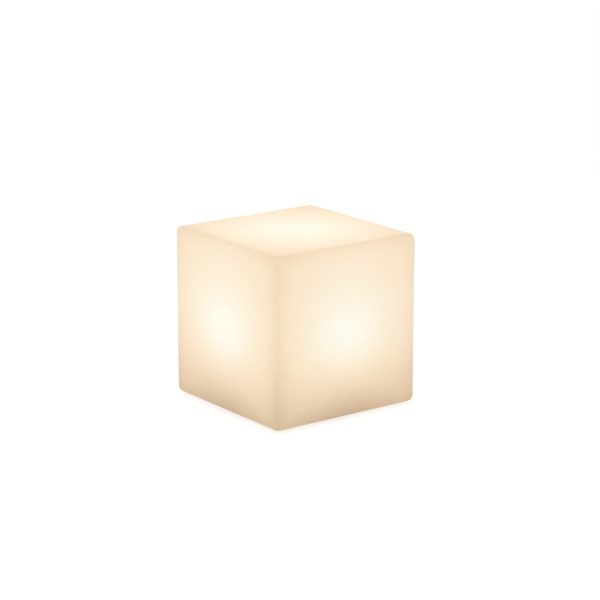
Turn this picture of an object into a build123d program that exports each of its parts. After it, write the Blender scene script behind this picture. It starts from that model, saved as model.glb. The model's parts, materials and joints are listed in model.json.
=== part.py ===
from build123d import *
import math
import os

# Cordless cube light for porch and garden: a hollow cube of milky polyethylene that glows all over.
# A round light module locks into the base of the cube with a twist. It holds the two cells, the
# control board, the switch and the charging socket, and carries a post with five light boards at
# the cube's centre, so that each face of the cube is brightest in its middle.
#
# All sizes are in millimetres and all angles in degrees. The origin is on the floor under the
# cube's centre, +Z is up, and the front of the cube faces -Y.

# ---------------------------------------------------------------- cube shell
cube_side = 200.0
edge_radius = 8.0
shell_wall = 3.0
pocket_depth = 4.5          # how far the base steps up around the round opening
pocket_play = 0.5           # between the mounting ring and the side of the pocket

# ---------------------------------------------------------------- feet
foot_height = 2.0           # how far a foot stands out of the base
foot_radius = 7.0
foot_from_side = 20.0       # from the centre of a foot to the two nearest sides of the cube
foot_seat_depth = 1.0
foot_edge = 0.8
foot_stem_radius = 2.0
foot_barb_radius = 3.2
foot_barb_height = 2.2

# ---------------------------------------------------------------- clearances
fit_gap = 0.1               # between pieces that stay put
turn_gap = 0.5              # between the module and the ring that it turns in
lift_gap = 0.15             # between a lug and the lip that carries it
stop_gap_angle = 0.3        # between a lug and its stop

# ---------------------------------------------------------------- screws
screw_radius = 1.5
screw_head_radius = 2.75
screw_head_height = 1.9
small_screw_radius = 1.0
small_head_radius = 1.9
small_head_height = 1.3
countersink_depth = 1.7
countersink_rim = 0.2
countersunk_length = 9.0
cross_width = 0.8           # the cross recess in every head

# ---------------------------------------------------------------- mounting ring
ring_gasket_thickness = 0.8
ring_flange_thickness = 2.5
ring_flange_width = 10.5    # outside the collar
collar_wall = 4.5
collar_above_lug = 2.0
lip_thickness = 3.0
ring_screw_count = 6
insert_radius = 2.4
insert_length = 7.0
insert_boss_wall = 2.2
insert_boss_roof = 2.0

# ---------------------------------------------------------------- twist lock
lug_count = 3
twist_angle = 30.0          # from locked to free
lug_half_angle = 10.0
notch_play_angle = 1.5
stop_angle = 4.0
lug_reach = 4.0
lug_thickness = 3.0
mark_angle = 285.0          # the locked mark, between two ring screws
mark_depth = 0.5
mark_size = 3.4
mark_spacing = 4.8          # from a mark's arrow to its dot or circle
locked_dot_radius = 1.2
free_circle_radius = 1.4
free_circle_line = 0.6

# ---------------------------------------------------------------- base tray
recess_radius = 53.0        # the finger recess under the module
recess_depth = 14.0
skirt_wall = 3.0
deck_thickness = 2.5        # the ceiling of the recess
tray_flange_thickness = 2.5
tray_flange_overlap = 5.0   # how far the flange reaches under the lip
seal_gap = 0.4              # between the tray's flange and the lip, filled by the seal
seal_width = 2.4
seal_groove_depth = 0.7
grip_width = 12.0
grip_setback = 0.8
grip_edge = 2.5
grip_skin = 2.5
grip_end_skin = 3.0
standoff_radius = 3.0
standoff_height = 8.3
board_screw_inset = 5.0     # from the edges of the control board
board_screw_length = 5.0
housing_screw_count = 6
housing_screw_turn = 30.0
housing_screw_length = 12.0

# ---------------------------------------------------------------- power button
button_radius = 7.0
button_proud = 0.8
button_play = 0.25
button_edge = 0.6
button_travel = 1.2
button_flange = 1.6         # how far the flange reaches past the button
button_flange_thickness = 1.5
button_post_radius = 2.2
button_guard_wall = 1.2
symbol_radius = 2.9         # raised power symbol on the button's face
symbol_line = 0.8
symbol_height = 0.35
symbol_opening = 70.0       # the gap in the symbol's ring
symbol_bar_low = 0.4        # from the symbol's centre to the two ends of its bar
symbol_bar_high = 3.3
switch_side = 6.2
switch_height = 5.0
switch_roof = 0.7
plunger_radius = 1.7
plunger_proud = 1.4

# ---------------------------------------------------------------- charging socket and its cover
socket_width = 8.94
socket_height = 3.26
socket_skin = 0.3
socket_length = 9.3
socket_block_length = 3.2   # the insulator at the closed end
tongue_width = 6.7
tongue_thickness = 0.7
tongue_setback = 0.6
port_pocket_depth = 1.5
port_pocket_margin = 3.0    # around the socket
plug_lid_margin = 2.4       # around the pocket
plug_lid_thickness = 1.6
plug_lid_edge = 0.6
plug_boss_gap = 0.3
plug_seat_gap = 0.1
plug_tab_length = 3.5
plug_tab_width = 7.0
plug_tab_thickness = 1.2
plug_tab_corner = 2.8
strap_length = 4.0
strap_width = 5.0
strap_thickness = 0.9
anchor_length = 6.0
anchor_corner = 2.0
anchor_gap = 0.15
anchor_stem_radius = 1.6
anchor_barb_radius = 2.4
barb_height = 1.5

# ---------------------------------------------------------------- small fittings in the deck
pipe_x = 19.0
pipe_radius = 1.5
pipe_flange_radius = 2.3
pipe_flange_thickness = 0.8
vent_x = -17.0
vent_head_radius = 5.0
vent_head_thickness = 1.4
vent_head_edge = 0.5
vent_stem_radius = 3.0
vent_barb_radius = 3.6
vent_bore_radius = 1.2
vent_slot_count = 8
vent_slot_width = 0.7
vent_slot_depth = 0.7
vent_slot_start = 2.5       # from the head's centre

# ---------------------------------------------------------------- housing
housing_gasket_thickness = 1.0
housing_wall = 2.5
housing_edge = 3.0
housing_boss_radius = 4.5
housing_boss_height = 16.0
web_thickness = 3.0

# ---------------------------------------------------------------- control board
board_width = 56.0
board_thickness = 1.6
board_gap = 3.0             # from the end of the board to the housing's bosses
board_corner = 4.0
parts_height = 8.0          # room for the parts on top of the board
chip_size = (5.0, 4.0, 1.5)
choke_side = 8.0
choke_height = 4.5
choke_corner = 1.6
capacitor_radius = 3.15
capacitor_height = 6.5
capacitor_edge = 0.5
capacitor_pitch = 9.0
capacitor_count = 3
led_connector_size = (7.6, 6.0, 5.6)
battery_connector_size = (8.0, 11.0, 6.0)
status_led_size = (1.6, 0.8, 0.6)

# ---------------------------------------------------------------- cells
cell_radius = 9.25
cell_length = 65.0
cell_edge = 0.8
cap_radius = 3.2
cap_height = 0.7
cell_spacing_gap = 0.7
cell_headroom = 3.5
strip_thickness = 0.2
strip_width = 8.0
cradle_floor = 2.0
cradle_half_length = 26.5
cradle_rail_width = 9.0
cradle_corner = 2.8
cradle_ear_thickness = 2.5
cradle_screw_gap = 2.6      # from the cells to the side of a cradle boss
cradle_boss_radius = 3.6
cradle_screw_length = 9.0
seat_arc_height = 3.0       # how far the cradle's seats stop below the cells' centre line
saddle_x = 20.0
saddle_thickness = 2.0
saddle_bite = 3.0           # how far the saddles stop above the cells' centre line

# ---------------------------------------------------------------- light post
sink_base_side = 36.0
sink_base_thickness = 4.0
sink_base_corner = 3.6
sink_screw_inset = 4.5
sink_screw_length = 5.5
post_side = 22.0
post_wall = 4.0
light_board_thickness = 1.6
light_board_margin = 1.0    # the post shows this much each side of a board
lead_room = 9.0             # between the post's base and the boards
light_screw_inset = 2.8
light_screw_length = 4.2
led_size = (3.5, 2.8, 0.8)
led_row_pitch = 9.0
led_column_offset = 4.6
led_end_margin = 7.0
top_led_offset = 4.4

# ---------------------------------------------------------------- lamp dome
dome_radius = 32.0
dome_wall = 2.0
dome_crown_radius = 14.0
dome_headroom = 12.0
dome_flange_width = 10.0
dome_flange_thickness = 2.5
dome_gasket_thickness = 0.8
dome_screw_count = 4
dome_screw_inset = 4.0      # from the flange's edge
dome_screw_depth = 7.0      # in the housing
dome_boss_radius = 4.0
dome_boss_floor = 1.2

# ---------------------------------------------------------------- leads
lead_radius = 0.8
lead_bend = 5.0
lead_offset = 1.2           # each side of the grommet's centre
grommet_hole_radius = 3.6
grommet_bore_radius = 2.3
grommet_flange_radius = 5.0
grommet_flange_thickness = 1.0
battery_lead_reach = 5.5
battery_lead_spread = 3.0

# ---------------------------------------------------------------- how the shapes are made
past = 1.0                  # how far a cutting shape runs past what it cuts
root = 0.5                  # how far an added shape runs into what it stands on
head_round = 0.45           # share of a screw head's height that is rounded
cross_reach = 0.6           # share of a head's radius that the cross reaches
cross_depth = 0.6           # share of a head's height that the cross is deep
barb_taper = 0.7            # a barb's tip against its stem

# ================================================================ places worked out from the sizes
half_side = cube_side / 2
base_z = foot_height
light_z = base_z + half_side

pocket_z = base_z + pocket_depth
ring_top_z = pocket_z - ring_gasket_thickness
ring_z = ring_top_z - ring_flange_thickness
lip_z = ring_z + tray_flange_thickness + seal_gap
lip_top_z = lip_z + lip_thickness
lug_z = lip_top_z + lift_gap
lug_top_z = lug_z + lug_thickness
collar_top_z = lug_top_z + collar_above_lug

skirt_radius = recess_radius + skirt_wall
lip_radius = skirt_radius + turn_gap
lug_radius = skirt_radius + lug_reach
channel_radius = lug_radius + turn_gap
tray_flange_radius = lip_radius + tray_flange_overlap
counterbore_radius = tray_flange_radius + turn_gap
collar_radius = channel_radius + collar_wall
opening_radius = collar_radius + fit_gap
ring_flange_radius = collar_radius + ring_flange_width
pocket_radius = ring_flange_radius + pocket_play
ring_screw_circle = (opening_radius + ring_flange_radius) / 2
insert_top_z = pocket_z + insert_length
foot_place = half_side - foot_from_side

tray_z = ring_z
tray_flange_top_z = tray_z + tray_flange_thickness
ceiling_z = tray_z + recess_depth
deck_z = ceiling_z + deck_thickness
grip_z = tray_z + grip_setback
seal_outer_radius = (skirt_radius + tray_flange_radius + seal_width) / 2
seal_inner_radius = seal_outer_radius - seal_width
station_y = (grip_width / 2 + recess_radius) / 2
housing_screw_circle = recess_radius - housing_boss_radius

board_z = deck_z + standoff_height
board_top_z = board_z + board_thickness
board_length = 2 * (housing_screw_circle - housing_boss_radius - board_gap)
board_screw_x = board_width / 2 - board_screw_inset
board_screw_y = board_length / 2 - board_screw_inset
plunger_z = board_z - switch_height - plunger_proud

housing_z = deck_z + housing_gasket_thickness
cradle_z = board_top_z + parts_height
cell_z = cradle_z + cradle_floor + cell_radius
cell_y = cell_radius + cell_spacing_gap / 2
cell_side_y = cell_y + cell_radius
housing_ceiling_z = cell_z + cell_radius + cell_headroom
housing_top_z = housing_ceiling_z + housing_wall
cradle_screw_x = cradle_half_length - cradle_rail_width / 2
cradle_screw_y = cell_side_y + cradle_screw_gap + cradle_boss_radius
ear_z = cradle_z + cradle_ear_thickness

sink_top_z = housing_top_z + sink_base_thickness
sink_screw_place = sink_base_side / 2 - sink_screw_inset
light_board_length = 2 * (light_z - sink_top_z - lead_room)
light_board_low_z = light_z - light_board_length / 2
light_board_width = post_side - 2 * light_board_margin
light_screw_heights = (
    light_board_low_z + light_screw_inset,
    light_board_low_z + light_board_length - light_screw_inset,
)
led_rows = max(1, int((light_board_length - 2 * led_end_margin) / led_row_pitch) + 1)
post_top_z = light_board_low_z + light_board_length
post_half = post_side / 2
post_corner = post_half - post_wall / 2
light_face = post_half + light_board_thickness
top_board_top_z = post_top_z + light_board_thickness

dome_inner_radius = dome_radius - dome_wall
dome_z = housing_top_z + dome_gasket_thickness
dome_flange_top_z = dome_z + dome_flange_thickness
dome_flange_radius = dome_radius + dome_flange_width
dome_screw_circle = dome_flange_radius - dome_screw_inset
dome_top_z = top_board_top_z + dome_headroom + dome_wall
grommet_y = -(sink_base_side / 2 + dome_inner_radius) / 2

pocket_width = socket_width + 2 * port_pocket_margin
pocket_height = socket_height + 2 * port_pocket_margin
lid_length = pocket_width + 2 * plug_lid_margin
lid_width = pocket_height + 2 * plug_lid_margin
lid_top_z = ceiling_z - plug_seat_gap
lid_z = lid_top_z - plug_lid_thickness
hinge_x = -(lid_length / 2 + strap_length)
hinge_z = (lid_z + lid_top_z) / 2
anchor_x = hinge_x - plug_lid_thickness / 2 - anchor_gap - anchor_length / 2
socket_z = board_z - socket_length


# ================================================================ shapes that several pieces use
def disc(radius, low, high, x=0.0, y=0.0):
    """Upright round bar between two heights."""
    bar = Cylinder(radius, high - low, align=(Align.CENTER, Align.CENTER, Align.MIN))
    return Pos(x, y, low) * bar


def taper(low_radius, high_radius, low, high, x=0.0, y=0.0):
    """Upright cone between two heights."""
    align = (Align.CENTER, Align.CENTER, Align.MIN)
    return Pos(x, y, low) * Cone(low_radius, high_radius, high - low, align=align)


def tube(outer, inner, low, high, x=0.0, y=0.0):
    """Upright round tube between two heights."""
    return disc(outer, low, high, x, y) - disc(inner, low - past, high + past, x, y)


def block(x_low, x_high, y_low, y_high, z_low, z_high):
    """Box between two corners."""
    box = Box(x_high - x_low, y_high - y_low, z_high - z_low, align=Align.MIN)
    return Pos(x_low, y_low, z_low) * box


def turned(outline):
    """Solid of revolution about Z, from a closed outline of (radius, height) points."""
    points = [(radius, 0, height) for radius, height in outline]
    return revolve(make_face(Polyline(*points, close=True)), Axis.Z)


def sector(inner, outer, start, end, low, high):
    """Part of a ring between two angles and two heights."""
    outer_arc = CenterArc((0, 0), outer, start, end - start)
    inner_arc = CenterArc((0, 0), inner, start, end - start)
    sides = [Line(outer_arc @ 0, inner_arc @ 0), Line(outer_arc @ 1, inner_arc @ 1)]
    return Pos(0, 0, low) * extrude(make_face([outer_arc, inner_arc, *sides]), high - low)


def racetrack(length, width, low, high, x=0.0, y=0.0):
    """Block with round ends, long in X."""
    return Pos(x, y, low) * extrude(SlotOverall(length, width), high - low)


def angles(count, first=0.0):
    """Evenly spaced angles round the circle."""
    return [first + 360.0 * index / count for index in range(count)]


def polar(radius, angle):
    """X and Y of a point on a circle."""
    return radius * math.cos(math.radians(angle)), radius * math.sin(math.radians(angle))


def round_places(radius, count, first=0.0):
    """Evenly spaced points on a circle."""
    return [polar(radius, angle) for angle in angles(count, first)]


def corners(x, y):
    """The four points at plus and minus x, plus and minus y."""
    return [(x, y), (-x, y), (-x, -y), (x, -y)]


def top_edges(shape):
    """The edges in the shape's highest plane."""
    return shape.edges().group_by(Axis.Z)[-1]


def bottom_edges(shape):
    """The edges in the shape's lowest plane."""
    return shape.edges().group_by(Axis.Z)[0]


def group(shapes):
    """Separate solids that share one node."""
    return Compound([solid for shape in shapes for solid in shape.solids()])


def copies(shape, places, z):
    """The same shape at several points, at one height."""
    return group(Pos(x, y, z) * shape for x, y in places)


def cross_recess(radius, height, top):
    """The cross that a screwdriver turns, cut down from a head's face."""
    reach = radius * cross_reach
    half = cross_width / 2
    arm = block(-reach, reach, -half, half, top - height * cross_depth, top + past)
    return arm + Rot(0, 0, 90) * arm


def pan_screw(radius, length, head_radius, head_height):
    """Screw with its head above z = 0 and its shank below."""
    head = disc(head_radius, 0, head_height)
    head = fillet(top_edges(head), head_height * head_round)
    head -= cross_recess(head_radius, head_height, head_height)
    return head + disc(radius, -length, 0)


def countersunk_form(play):
    """A flat-headed screw with its face at z = 0, grown by some play."""
    shank = screw_radius + play
    head = screw_head_radius + play
    return turned([
        (0, 0), (head, 0), (head, -countersink_rim), (shank, -countersink_depth),
        (shank, -countersunk_length), (0, -countersunk_length),
    ])


def lead(points):
    """Round wire along straight runs joined by arcs, one radius for every bend."""
    path = FilletPolyline(*points, radius=lead_bend)
    return sweep(Plane(origin=path @ 0, z_dir=path % 0) * Circle(lead_radius), path=path)


# ================================================================ cube shell and what is fixed to it
ring_screw_places = round_places(ring_screw_circle, ring_screw_count)


def rounded_cube(side, radius):
    """Cube about the light's centre with all its edges rounded."""
    return Pos(0, 0, light_z) * fillet(Box(side, side, side).edges(), radius)


def cube_shell():
    """Hollow cube with round edges, and a stepped base with one round opening."""
    inner_radius = max(edge_radius - shell_wall, root)
    shell = rounded_cube(cube_side, edge_radius) - rounded_cube(cube_side - 2 * shell_wall, inner_radius)
    shell += disc(pocket_radius + shell_wall, base_z + root, pocket_z + shell_wall)
    boss_top_z = insert_top_z + insert_boss_roof
    for x, y in ring_screw_places:
        shell += disc(insert_radius + insert_boss_wall, pocket_z, boss_top_z, x, y)
        shell -= disc(insert_radius, pocket_z - past, insert_top_z, x, y)
    shell -= disc(pocket_radius, base_z - past, pocket_z)
    shell -= disc(opening_radius, base_z - past, boss_top_z + past)
    for x, y in corners(foot_place, foot_place):
        shell -= disc(foot_radius + fit_gap, base_z - past, base_z + foot_seat_depth, x, y)
        shell -= disc(foot_stem_radius + fit_gap, base_z, base_z + shell_wall + past, x, y)
    return shell


def foot(x, y):
    """Rubber foot: a pad in its seat, a stem through the wall and a barb that holds it."""
    seat_z = base_z + foot_seat_depth
    inside_z = base_z + shell_wall + fit_gap
    pad = fillet(bottom_edges(disc(foot_radius, 0, seat_z)), foot_edge)
    stem = disc(foot_stem_radius, seat_z - root, inside_z)
    barb = taper(foot_barb_radius, foot_stem_radius * barb_taper, inside_z, inside_z + foot_barb_height)
    return Pos(x, y, 0) * (pad + stem + barb)


def ring_inserts():
    """Threaded brass inserts in the shell's bosses."""
    insert = tube(insert_radius, screw_radius + fit_gap, pocket_z, insert_top_z)
    return copies(insert, ring_screw_places, 0)


def ring_gasket():
    """Flat seal between the ring's flange and the shell."""
    gasket = tube(ring_flange_radius, opening_radius, ring_top_z, pocket_z)
    for x, y in ring_screw_places:
        gasket -= disc(screw_radius + fit_gap, ring_top_z - past, pocket_z + past, x, y)
    return gasket


def ring_screws():
    """Countersunk screws through the ring's flange, heads down."""
    screw = countersunk_form(0) - cross_recess(screw_head_radius, countersink_depth, 0)
    return copies(Rot(180, 0, 0) * screw, ring_screw_places, ring_z + fit_gap)


def arrow(radius, angle, way):
    """Small triangle cut into the underside, pointing out (way 1) or in (way -1)."""
    half = mark_size / 2
    triangle = make_face(Polyline((way * half, 0), (-way * half, half), (-way * half, -half), close=True))
    x, y = polar(radius, angle)
    return Pos(x, y, ring_z - past) * Rot(0, 0, angle) * extrude(triangle, past + mark_depth)


def ring_marks():
    """Arrow and dot where the module is locked, arrow and circle where it is free."""
    arrow_radius = counterbore_radius + mark_size
    low, high = ring_z - past, ring_z + mark_depth
    locked_x, locked_y = polar(arrow_radius + mark_spacing, mark_angle)
    free_x, free_y = polar(arrow_radius + mark_spacing, mark_angle - twist_angle)
    marks = arrow(arrow_radius, mark_angle, -1) + arrow(arrow_radius, mark_angle - twist_angle, -1)
    marks += disc(locked_dot_radius, low, high, locked_x, locked_y)
    return marks + tube(
        free_circle_radius, free_circle_radius - free_circle_line, low, high, free_x, free_y
    )


def mounting_ring():
    """Collar with an inward lip. Its notches let the module's lugs in, and each has two stops."""
    ring = turned([
        (counterbore_radius, ring_z), (ring_flange_radius, ring_z), (ring_flange_radius, ring_top_z),
        (collar_radius, ring_top_z), (collar_radius, collar_top_z), (channel_radius, collar_top_z),
        (channel_radius, lip_top_z), (lip_radius, lip_top_z), (lip_radius, lip_z),
        (counterbore_radius, lip_z),
    ])
    notch_half = lug_half_angle + notch_play_angle
    locked_stop = twist_angle + lug_half_angle + stop_gap_angle
    free_stop = -lug_half_angle - stop_gap_angle - stop_angle
    for first in angles(lug_count):
        ring -= sector(
            lip_radius - past, channel_radius, first - notch_half, first + notch_half,
            lip_z - past, lip_top_z + past,
        )
        for start in (first + locked_stop, first + free_stop):
            ring += sector(
                lip_radius, channel_radius + root, start, start + stop_angle, lip_top_z - root, lug_top_z
            )
    for x, y in ring_screw_places:
        ring -= disc(screw_head_radius + fit_gap, ring_z - past, ring_z + fit_gap, x, y)
        ring -= Pos(x, y, ring_z + fit_gap) * Rot(180, 0, 0) * countersunk_form(fit_gap)
    return ring - ring_marks()


# ================================================================ light module: tray and its fittings
housing_screw_places = round_places(housing_screw_circle, housing_screw_count, housing_screw_turn)


def tray_dish():
    """The tray without its fittings: skirt, flange with the seal's groove, deck and lugs."""
    dish = turned([
        (recess_radius, tray_z), (tray_flange_radius, tray_z), (tray_flange_radius, tray_flange_top_z),
        (skirt_radius, tray_flange_top_z), (skirt_radius, deck_z), (0, deck_z), (0, ceiling_z),
        (recess_radius, ceiling_z),
    ])
    for angle in angles(lug_count, twist_angle):
        dish += sector(
            skirt_radius - root, lug_radius, angle - lug_half_angle, angle + lug_half_angle,
            lug_z, lug_top_z,
        )
    return dish - tube(
        seal_outer_radius, seal_inner_radius, tray_flange_top_z - seal_groove_depth,
        tray_flange_top_z + past,
    )


def grip_bar():
    """The bar across the recess that the module is twisted by."""
    reach = recess_radius + root
    bar = block(-reach, reach, -grip_width / 2, grip_width / 2, grip_z, ceiling_z + root)
    bar = fillet(bottom_edges(bar).filter_by(Axis.X), grip_edge)
    return bar & disc(reach, grip_z, ceiling_z + root)


def grip_core():
    """The hollow inside the grip bar, open to the inside of the module."""
    reach = recess_radius - grip_end_skin
    half = grip_width / 2 - grip_skin
    return block(-reach, reach, -half, half, grip_z + grip_skin, deck_z + past)


def base_tray():
    """Dish under the module: flange, lugs, grip bar, and the deck that holds the fittings."""
    tray = tray_dish() + grip_bar() - grip_core()
    for x, y in corners(board_screw_x, board_screw_y):
        tray += disc(standoff_radius, deck_z - root, board_z, x, y)
        tray -= disc(small_screw_radius + fit_gap, deck_z, board_z + past, x, y)
    for x, y in housing_screw_places:
        tray -= disc(screw_radius + fit_gap, ceiling_z - past, deck_z + past, x, y)
    guard = button_radius + button_flange + button_play
    guard_top_z = deck_z + button_flange_thickness + button_travel
    tray += tube(guard + button_guard_wall, guard, deck_z - root, guard_top_z, 0, -station_y)
    under, over = ceiling_z - past, deck_z + past
    tray -= disc(button_radius + button_play, under, over, 0, -station_y)
    tray -= racetrack(pocket_width, pocket_height, under, ceiling_z + port_pocket_depth, 0, station_y)
    play = 2 * fit_gap
    tray -= racetrack(socket_width + play, socket_height + play, under, over, 0, station_y)
    tray -= disc(anchor_stem_radius + fit_gap, under, over, anchor_x, station_y)
    tray -= disc(pipe_radius + fit_gap, under, over, pipe_x, station_y)
    tray -= disc(vent_stem_radius + fit_gap, under, over, vent_x, -station_y)
    return tray - arrow(tray_flange_radius - mark_size, mark_angle, 1)


def tray_seal():
    """Flat silicone ring in the tray's flange that closes against the ring's lip."""
    low = tray_flange_top_z - seal_groove_depth
    return tube(seal_outer_radius - fit_gap, seal_inner_radius + fit_gap, low, lip_z)


def housing_gasket():
    """Flat seal between the tray and the housing."""
    return tube(skirt_radius, skirt_radius - housing_wall, deck_z, housing_z)


def housing_screws():
    """Screws that close the module, heads down under the deck."""
    screw = pan_screw(screw_radius, housing_screw_length, screw_head_radius, screw_head_height)
    return copies(Rot(180, 0, 0) * screw, housing_screw_places, ceiling_z)


def power_symbol(face_z):
    """Ring open at one side with a bar through the opening, standing out of the button's face."""
    half = symbol_opening / 2
    low, high = face_z - symbol_height, face_z + root
    ring = sector(symbol_radius - symbol_line, symbol_radius, 90 + half, 450 - half, low, high)
    return ring + block(-symbol_line / 2, symbol_line / 2, symbol_bar_low, symbol_bar_high, low, high)


def power_button():
    """Silicone button: its face under the deck, a flange above the deck, and a post to the switch."""
    face_z = ceiling_z - button_proud
    button = fillet(bottom_edges(disc(button_radius, face_z, deck_z + root)), button_edge)
    button += disc(button_radius + button_flange, deck_z, deck_z + button_flange_thickness)
    button += disc(button_post_radius, deck_z, plunger_z)
    return Pos(0, -station_y, 0) * (button + power_symbol(face_z))


def switch_body():
    """Square push switch under the control board, with the hole that its plunger runs in."""
    half = switch_side / 2
    low = board_z - switch_height
    body = block(-half, half, -half, half, low, board_z)
    body -= disc(plunger_radius + fit_gap, low - past, board_z - switch_roof)
    return Pos(0, -station_y, 0) * body


def switch_plunger():
    """Plunger between the button's post and the inside of the switch."""
    high = board_z - switch_roof - button_travel - fit_gap
    return disc(plunger_radius, plunger_z, high, 0, -station_y)


def socket_shell():
    """Metal skin of the charging socket, open at its mouth."""
    inner_width, inner_height = socket_width - 2 * socket_skin, socket_height - 2 * socket_skin
    skin = racetrack(socket_width, socket_height, socket_z, board_z, 0, station_y)
    return skin - racetrack(inner_width, inner_height, socket_z - past, board_z + past, 0, station_y)


def socket_tongue():
    """Insulator at the closed end of the socket, with the tongue that carries the contacts."""
    play = 2 * (socket_skin + fit_gap)
    low = board_z - socket_block_length
    base = racetrack(socket_width - play, socket_height - play, low, board_z, 0, station_y)
    half_width, half_thickness = tongue_width / 2, tongue_thickness / 2
    return base + block(
        -half_width, half_width, station_y - half_thickness, station_y + half_thickness,
        socket_z + tongue_setback, low + root,
    )


def plug_tab():
    """The end of the lid that a finger pulls."""
    half = plug_tab_width / 2
    high = lid_z + plug_tab_thickness
    tab = block(0, lid_length / 2 + plug_tab_length, station_y - half, station_y + half, lid_z, high)
    outer_corners = tab.edges().filter_by(Axis.Z).sort_by(Axis.X)[-2:]
    return fillet(outer_corners, plug_tab_corner)


def port_plug():
    """Rubber cover of the socket: lid, boss, pull tab, and the strap up to its living hinge."""
    lid = racetrack(lid_length, lid_width, lid_z, lid_top_z, 0, station_y)
    lid = fillet(bottom_edges(lid), plug_lid_edge) + plug_tab()
    boss_width, boss_height = pocket_width - 2 * plug_boss_gap, pocket_height - 2 * plug_boss_gap
    boss_top_z = ceiling_z + port_pocket_depth - plug_boss_gap
    lid += racetrack(boss_width, boss_height, lid_top_z - root, boss_top_z, 0, station_y)
    half_strap, half_thickness = strap_width / 2, strap_thickness / 2
    lid += block(
        hinge_x, 0, station_y - half_strap, station_y + half_strap,
        hinge_z - half_thickness, hinge_z + half_thickness,
    )
    bead = Cylinder(plug_lid_thickness / 2, strap_width, rotation=(90, 0, 0))
    return lid + Pos(hinge_x, station_y, hinge_z) * bead


def plug_anchor():
    """End of the rubber cover that stays put: a plate, and a stem with a barb above the deck."""
    half_length, half_width = anchor_length / 2, strap_width / 2
    plate = block(
        anchor_x - half_length, anchor_x + half_length, station_y - half_width, station_y + half_width,
        lid_z, ceiling_z,
    )
    outer_corners = plate.edges().filter_by(Axis.Z).sort_by(Axis.X)[:2]
    inside_z = deck_z + fit_gap
    tip = anchor_stem_radius * barb_taper
    stem = disc(anchor_stem_radius, ceiling_z - root, inside_z, anchor_x, station_y)
    barb = taper(anchor_barb_radius, tip, inside_z, inside_z + barb_height, anchor_x, station_y)
    return fillet(outer_corners, anchor_corner) + stem + barb


def light_pipe():
    """Clear rod that carries the charging light from the board down to the deck."""
    high = board_z - status_led_size[2] - fit_gap
    rod = disc(pipe_radius, ceiling_z, high, pipe_x, station_y)
    return rod + disc(pipe_flange_radius, deck_z, deck_z + pipe_flange_thickness, pipe_x, station_y)


def vent_plug():
    """Breather that lets air through and keeps water out: slotted head, stem, and a barb."""
    low = ceiling_z - vent_head_thickness
    head = fillet(bottom_edges(disc(vent_head_radius, low, ceiling_z)), vent_head_edge)
    half = vent_slot_width / 2
    slot_z = low + vent_slot_depth
    slot = block(vent_slot_start, vent_head_radius + past, -half, half, low - past, slot_z)
    for angle in angles(vent_slot_count):
        head -= Rot(0, 0, angle) * slot
    inside_z = deck_z + fit_gap
    stem = disc(vent_stem_radius, ceiling_z - root, inside_z)
    barb = taper(vent_barb_radius, vent_stem_radius * barb_taper, inside_z, inside_z + barb_height)
    bore = disc(vent_bore_radius, slot_z, inside_z + barb_height + past)
    return Pos(vent_x, -station_y, 0) * (head + stem + barb - bore)


# ================================================================ light module: control board
def control_board():
    """Circuit board on four standoffs above the deck."""
    outline = RectangleRounded(board_width, board_length, board_corner)
    board = Pos(0, 0, board_z) * extrude(outline, board_thickness)
    for x, y in corners(board_screw_x, board_screw_y):
        board -= disc(small_screw_radius + fit_gap, board_z - past, board_top_z + past, x, y)
    return board


def board_screws():
    """Small screws from above into the tray's standoffs."""
    screw = pan_screw(small_screw_radius, board_screw_length, small_head_radius, small_head_height)
    return copies(screw, corners(board_screw_x, board_screw_y), board_top_z)


def board_block(x, y, size):
    """Rectangular part that stands on the board, centred on a point."""
    length, width, height = size
    return block(
        x - length / 2, x + length / 2, y - width / 2, y + width / 2, board_top_z, board_top_z + height
    )


def choke_coil():
    """Shielded choke beside the driver chip."""
    choke = board_block(board_width / 6, -station_y / 2, (choke_side, choke_side, choke_height))
    return fillet(choke.edges().filter_by(Axis.Z), choke_corner)


def capacitors():
    """Smoothing capacitors in a row."""
    can = disc(capacitor_radius, 0, capacitor_height)
    can = fillet(top_edges(can), capacitor_edge)
    first = -capacitor_pitch * (capacitor_count - 1) / 2
    places = [(first + capacitor_pitch * index, station_y) for index in range(capacitor_count)]
    return copies(can, places, board_top_z)


def status_led():
    """Tiny light under the board, over the light pipe."""
    length, width, height = status_led_size
    return block(
        pipe_x - length / 2, pipe_x + length / 2, station_y - width / 2, station_y + width / 2,
        board_z - height, board_z,
    )


# ================================================================ light module: cells and housing
def cell_space(y):
    """Round bar along X that clears a cell."""
    bar = Cylinder(cell_radius + fit_gap, cell_length, rotation=(0, 90, 0))
    return Pos(0, y, cell_z) * bar


def battery_cell(y, cap_side):
    """Round cell along X, with its raised cap at one end."""
    body = disc(cell_radius, -cell_length / 2, cell_length / 2 - cap_height)
    body = fillet(body.edges().filter_by(GeomType.CIRCLE), cell_edge)
    cap = disc(cap_radius, cell_length / 2 - cap_height - root, cell_length / 2)
    return Pos(0, y, cell_z) * Rot(0, 90 * cap_side, 0) * (body + cap)


def nickel_strip(outer_x, inner_x, low_y, high_y):
    """Flat strip on the ends of the cells."""
    half = strip_width / 2
    return block(outer_x, inner_x, low_y - half, high_y + half, cell_z - half, cell_z + half)


def battery_cradle():
    """Tray under the cells, with four ears that screw up to the housing."""
    cradle = block(
        -cradle_half_length, cradle_half_length, -cell_side_y, cell_side_y,
        cradle_z, cell_z - seat_arc_height,
    )
    ear_y = cradle_screw_y + cradle_boss_radius
    rail_half = cradle_rail_width / 2
    for x in (-cradle_screw_x, cradle_screw_x):
        rail = block(x - rail_half, x + rail_half, -ear_y, ear_y, cradle_z, ear_z)
        cradle += fillet(rail.edges().filter_by(Axis.Z), cradle_corner)
    for y in (-cell_y, cell_y):
        cradle -= cell_space(y)
    for x, y in corners(cradle_screw_x, cradle_screw_y):
        cradle -= disc(screw_radius + fit_gap, cradle_z - past, ear_z + past, x, y)
    return cradle


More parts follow.
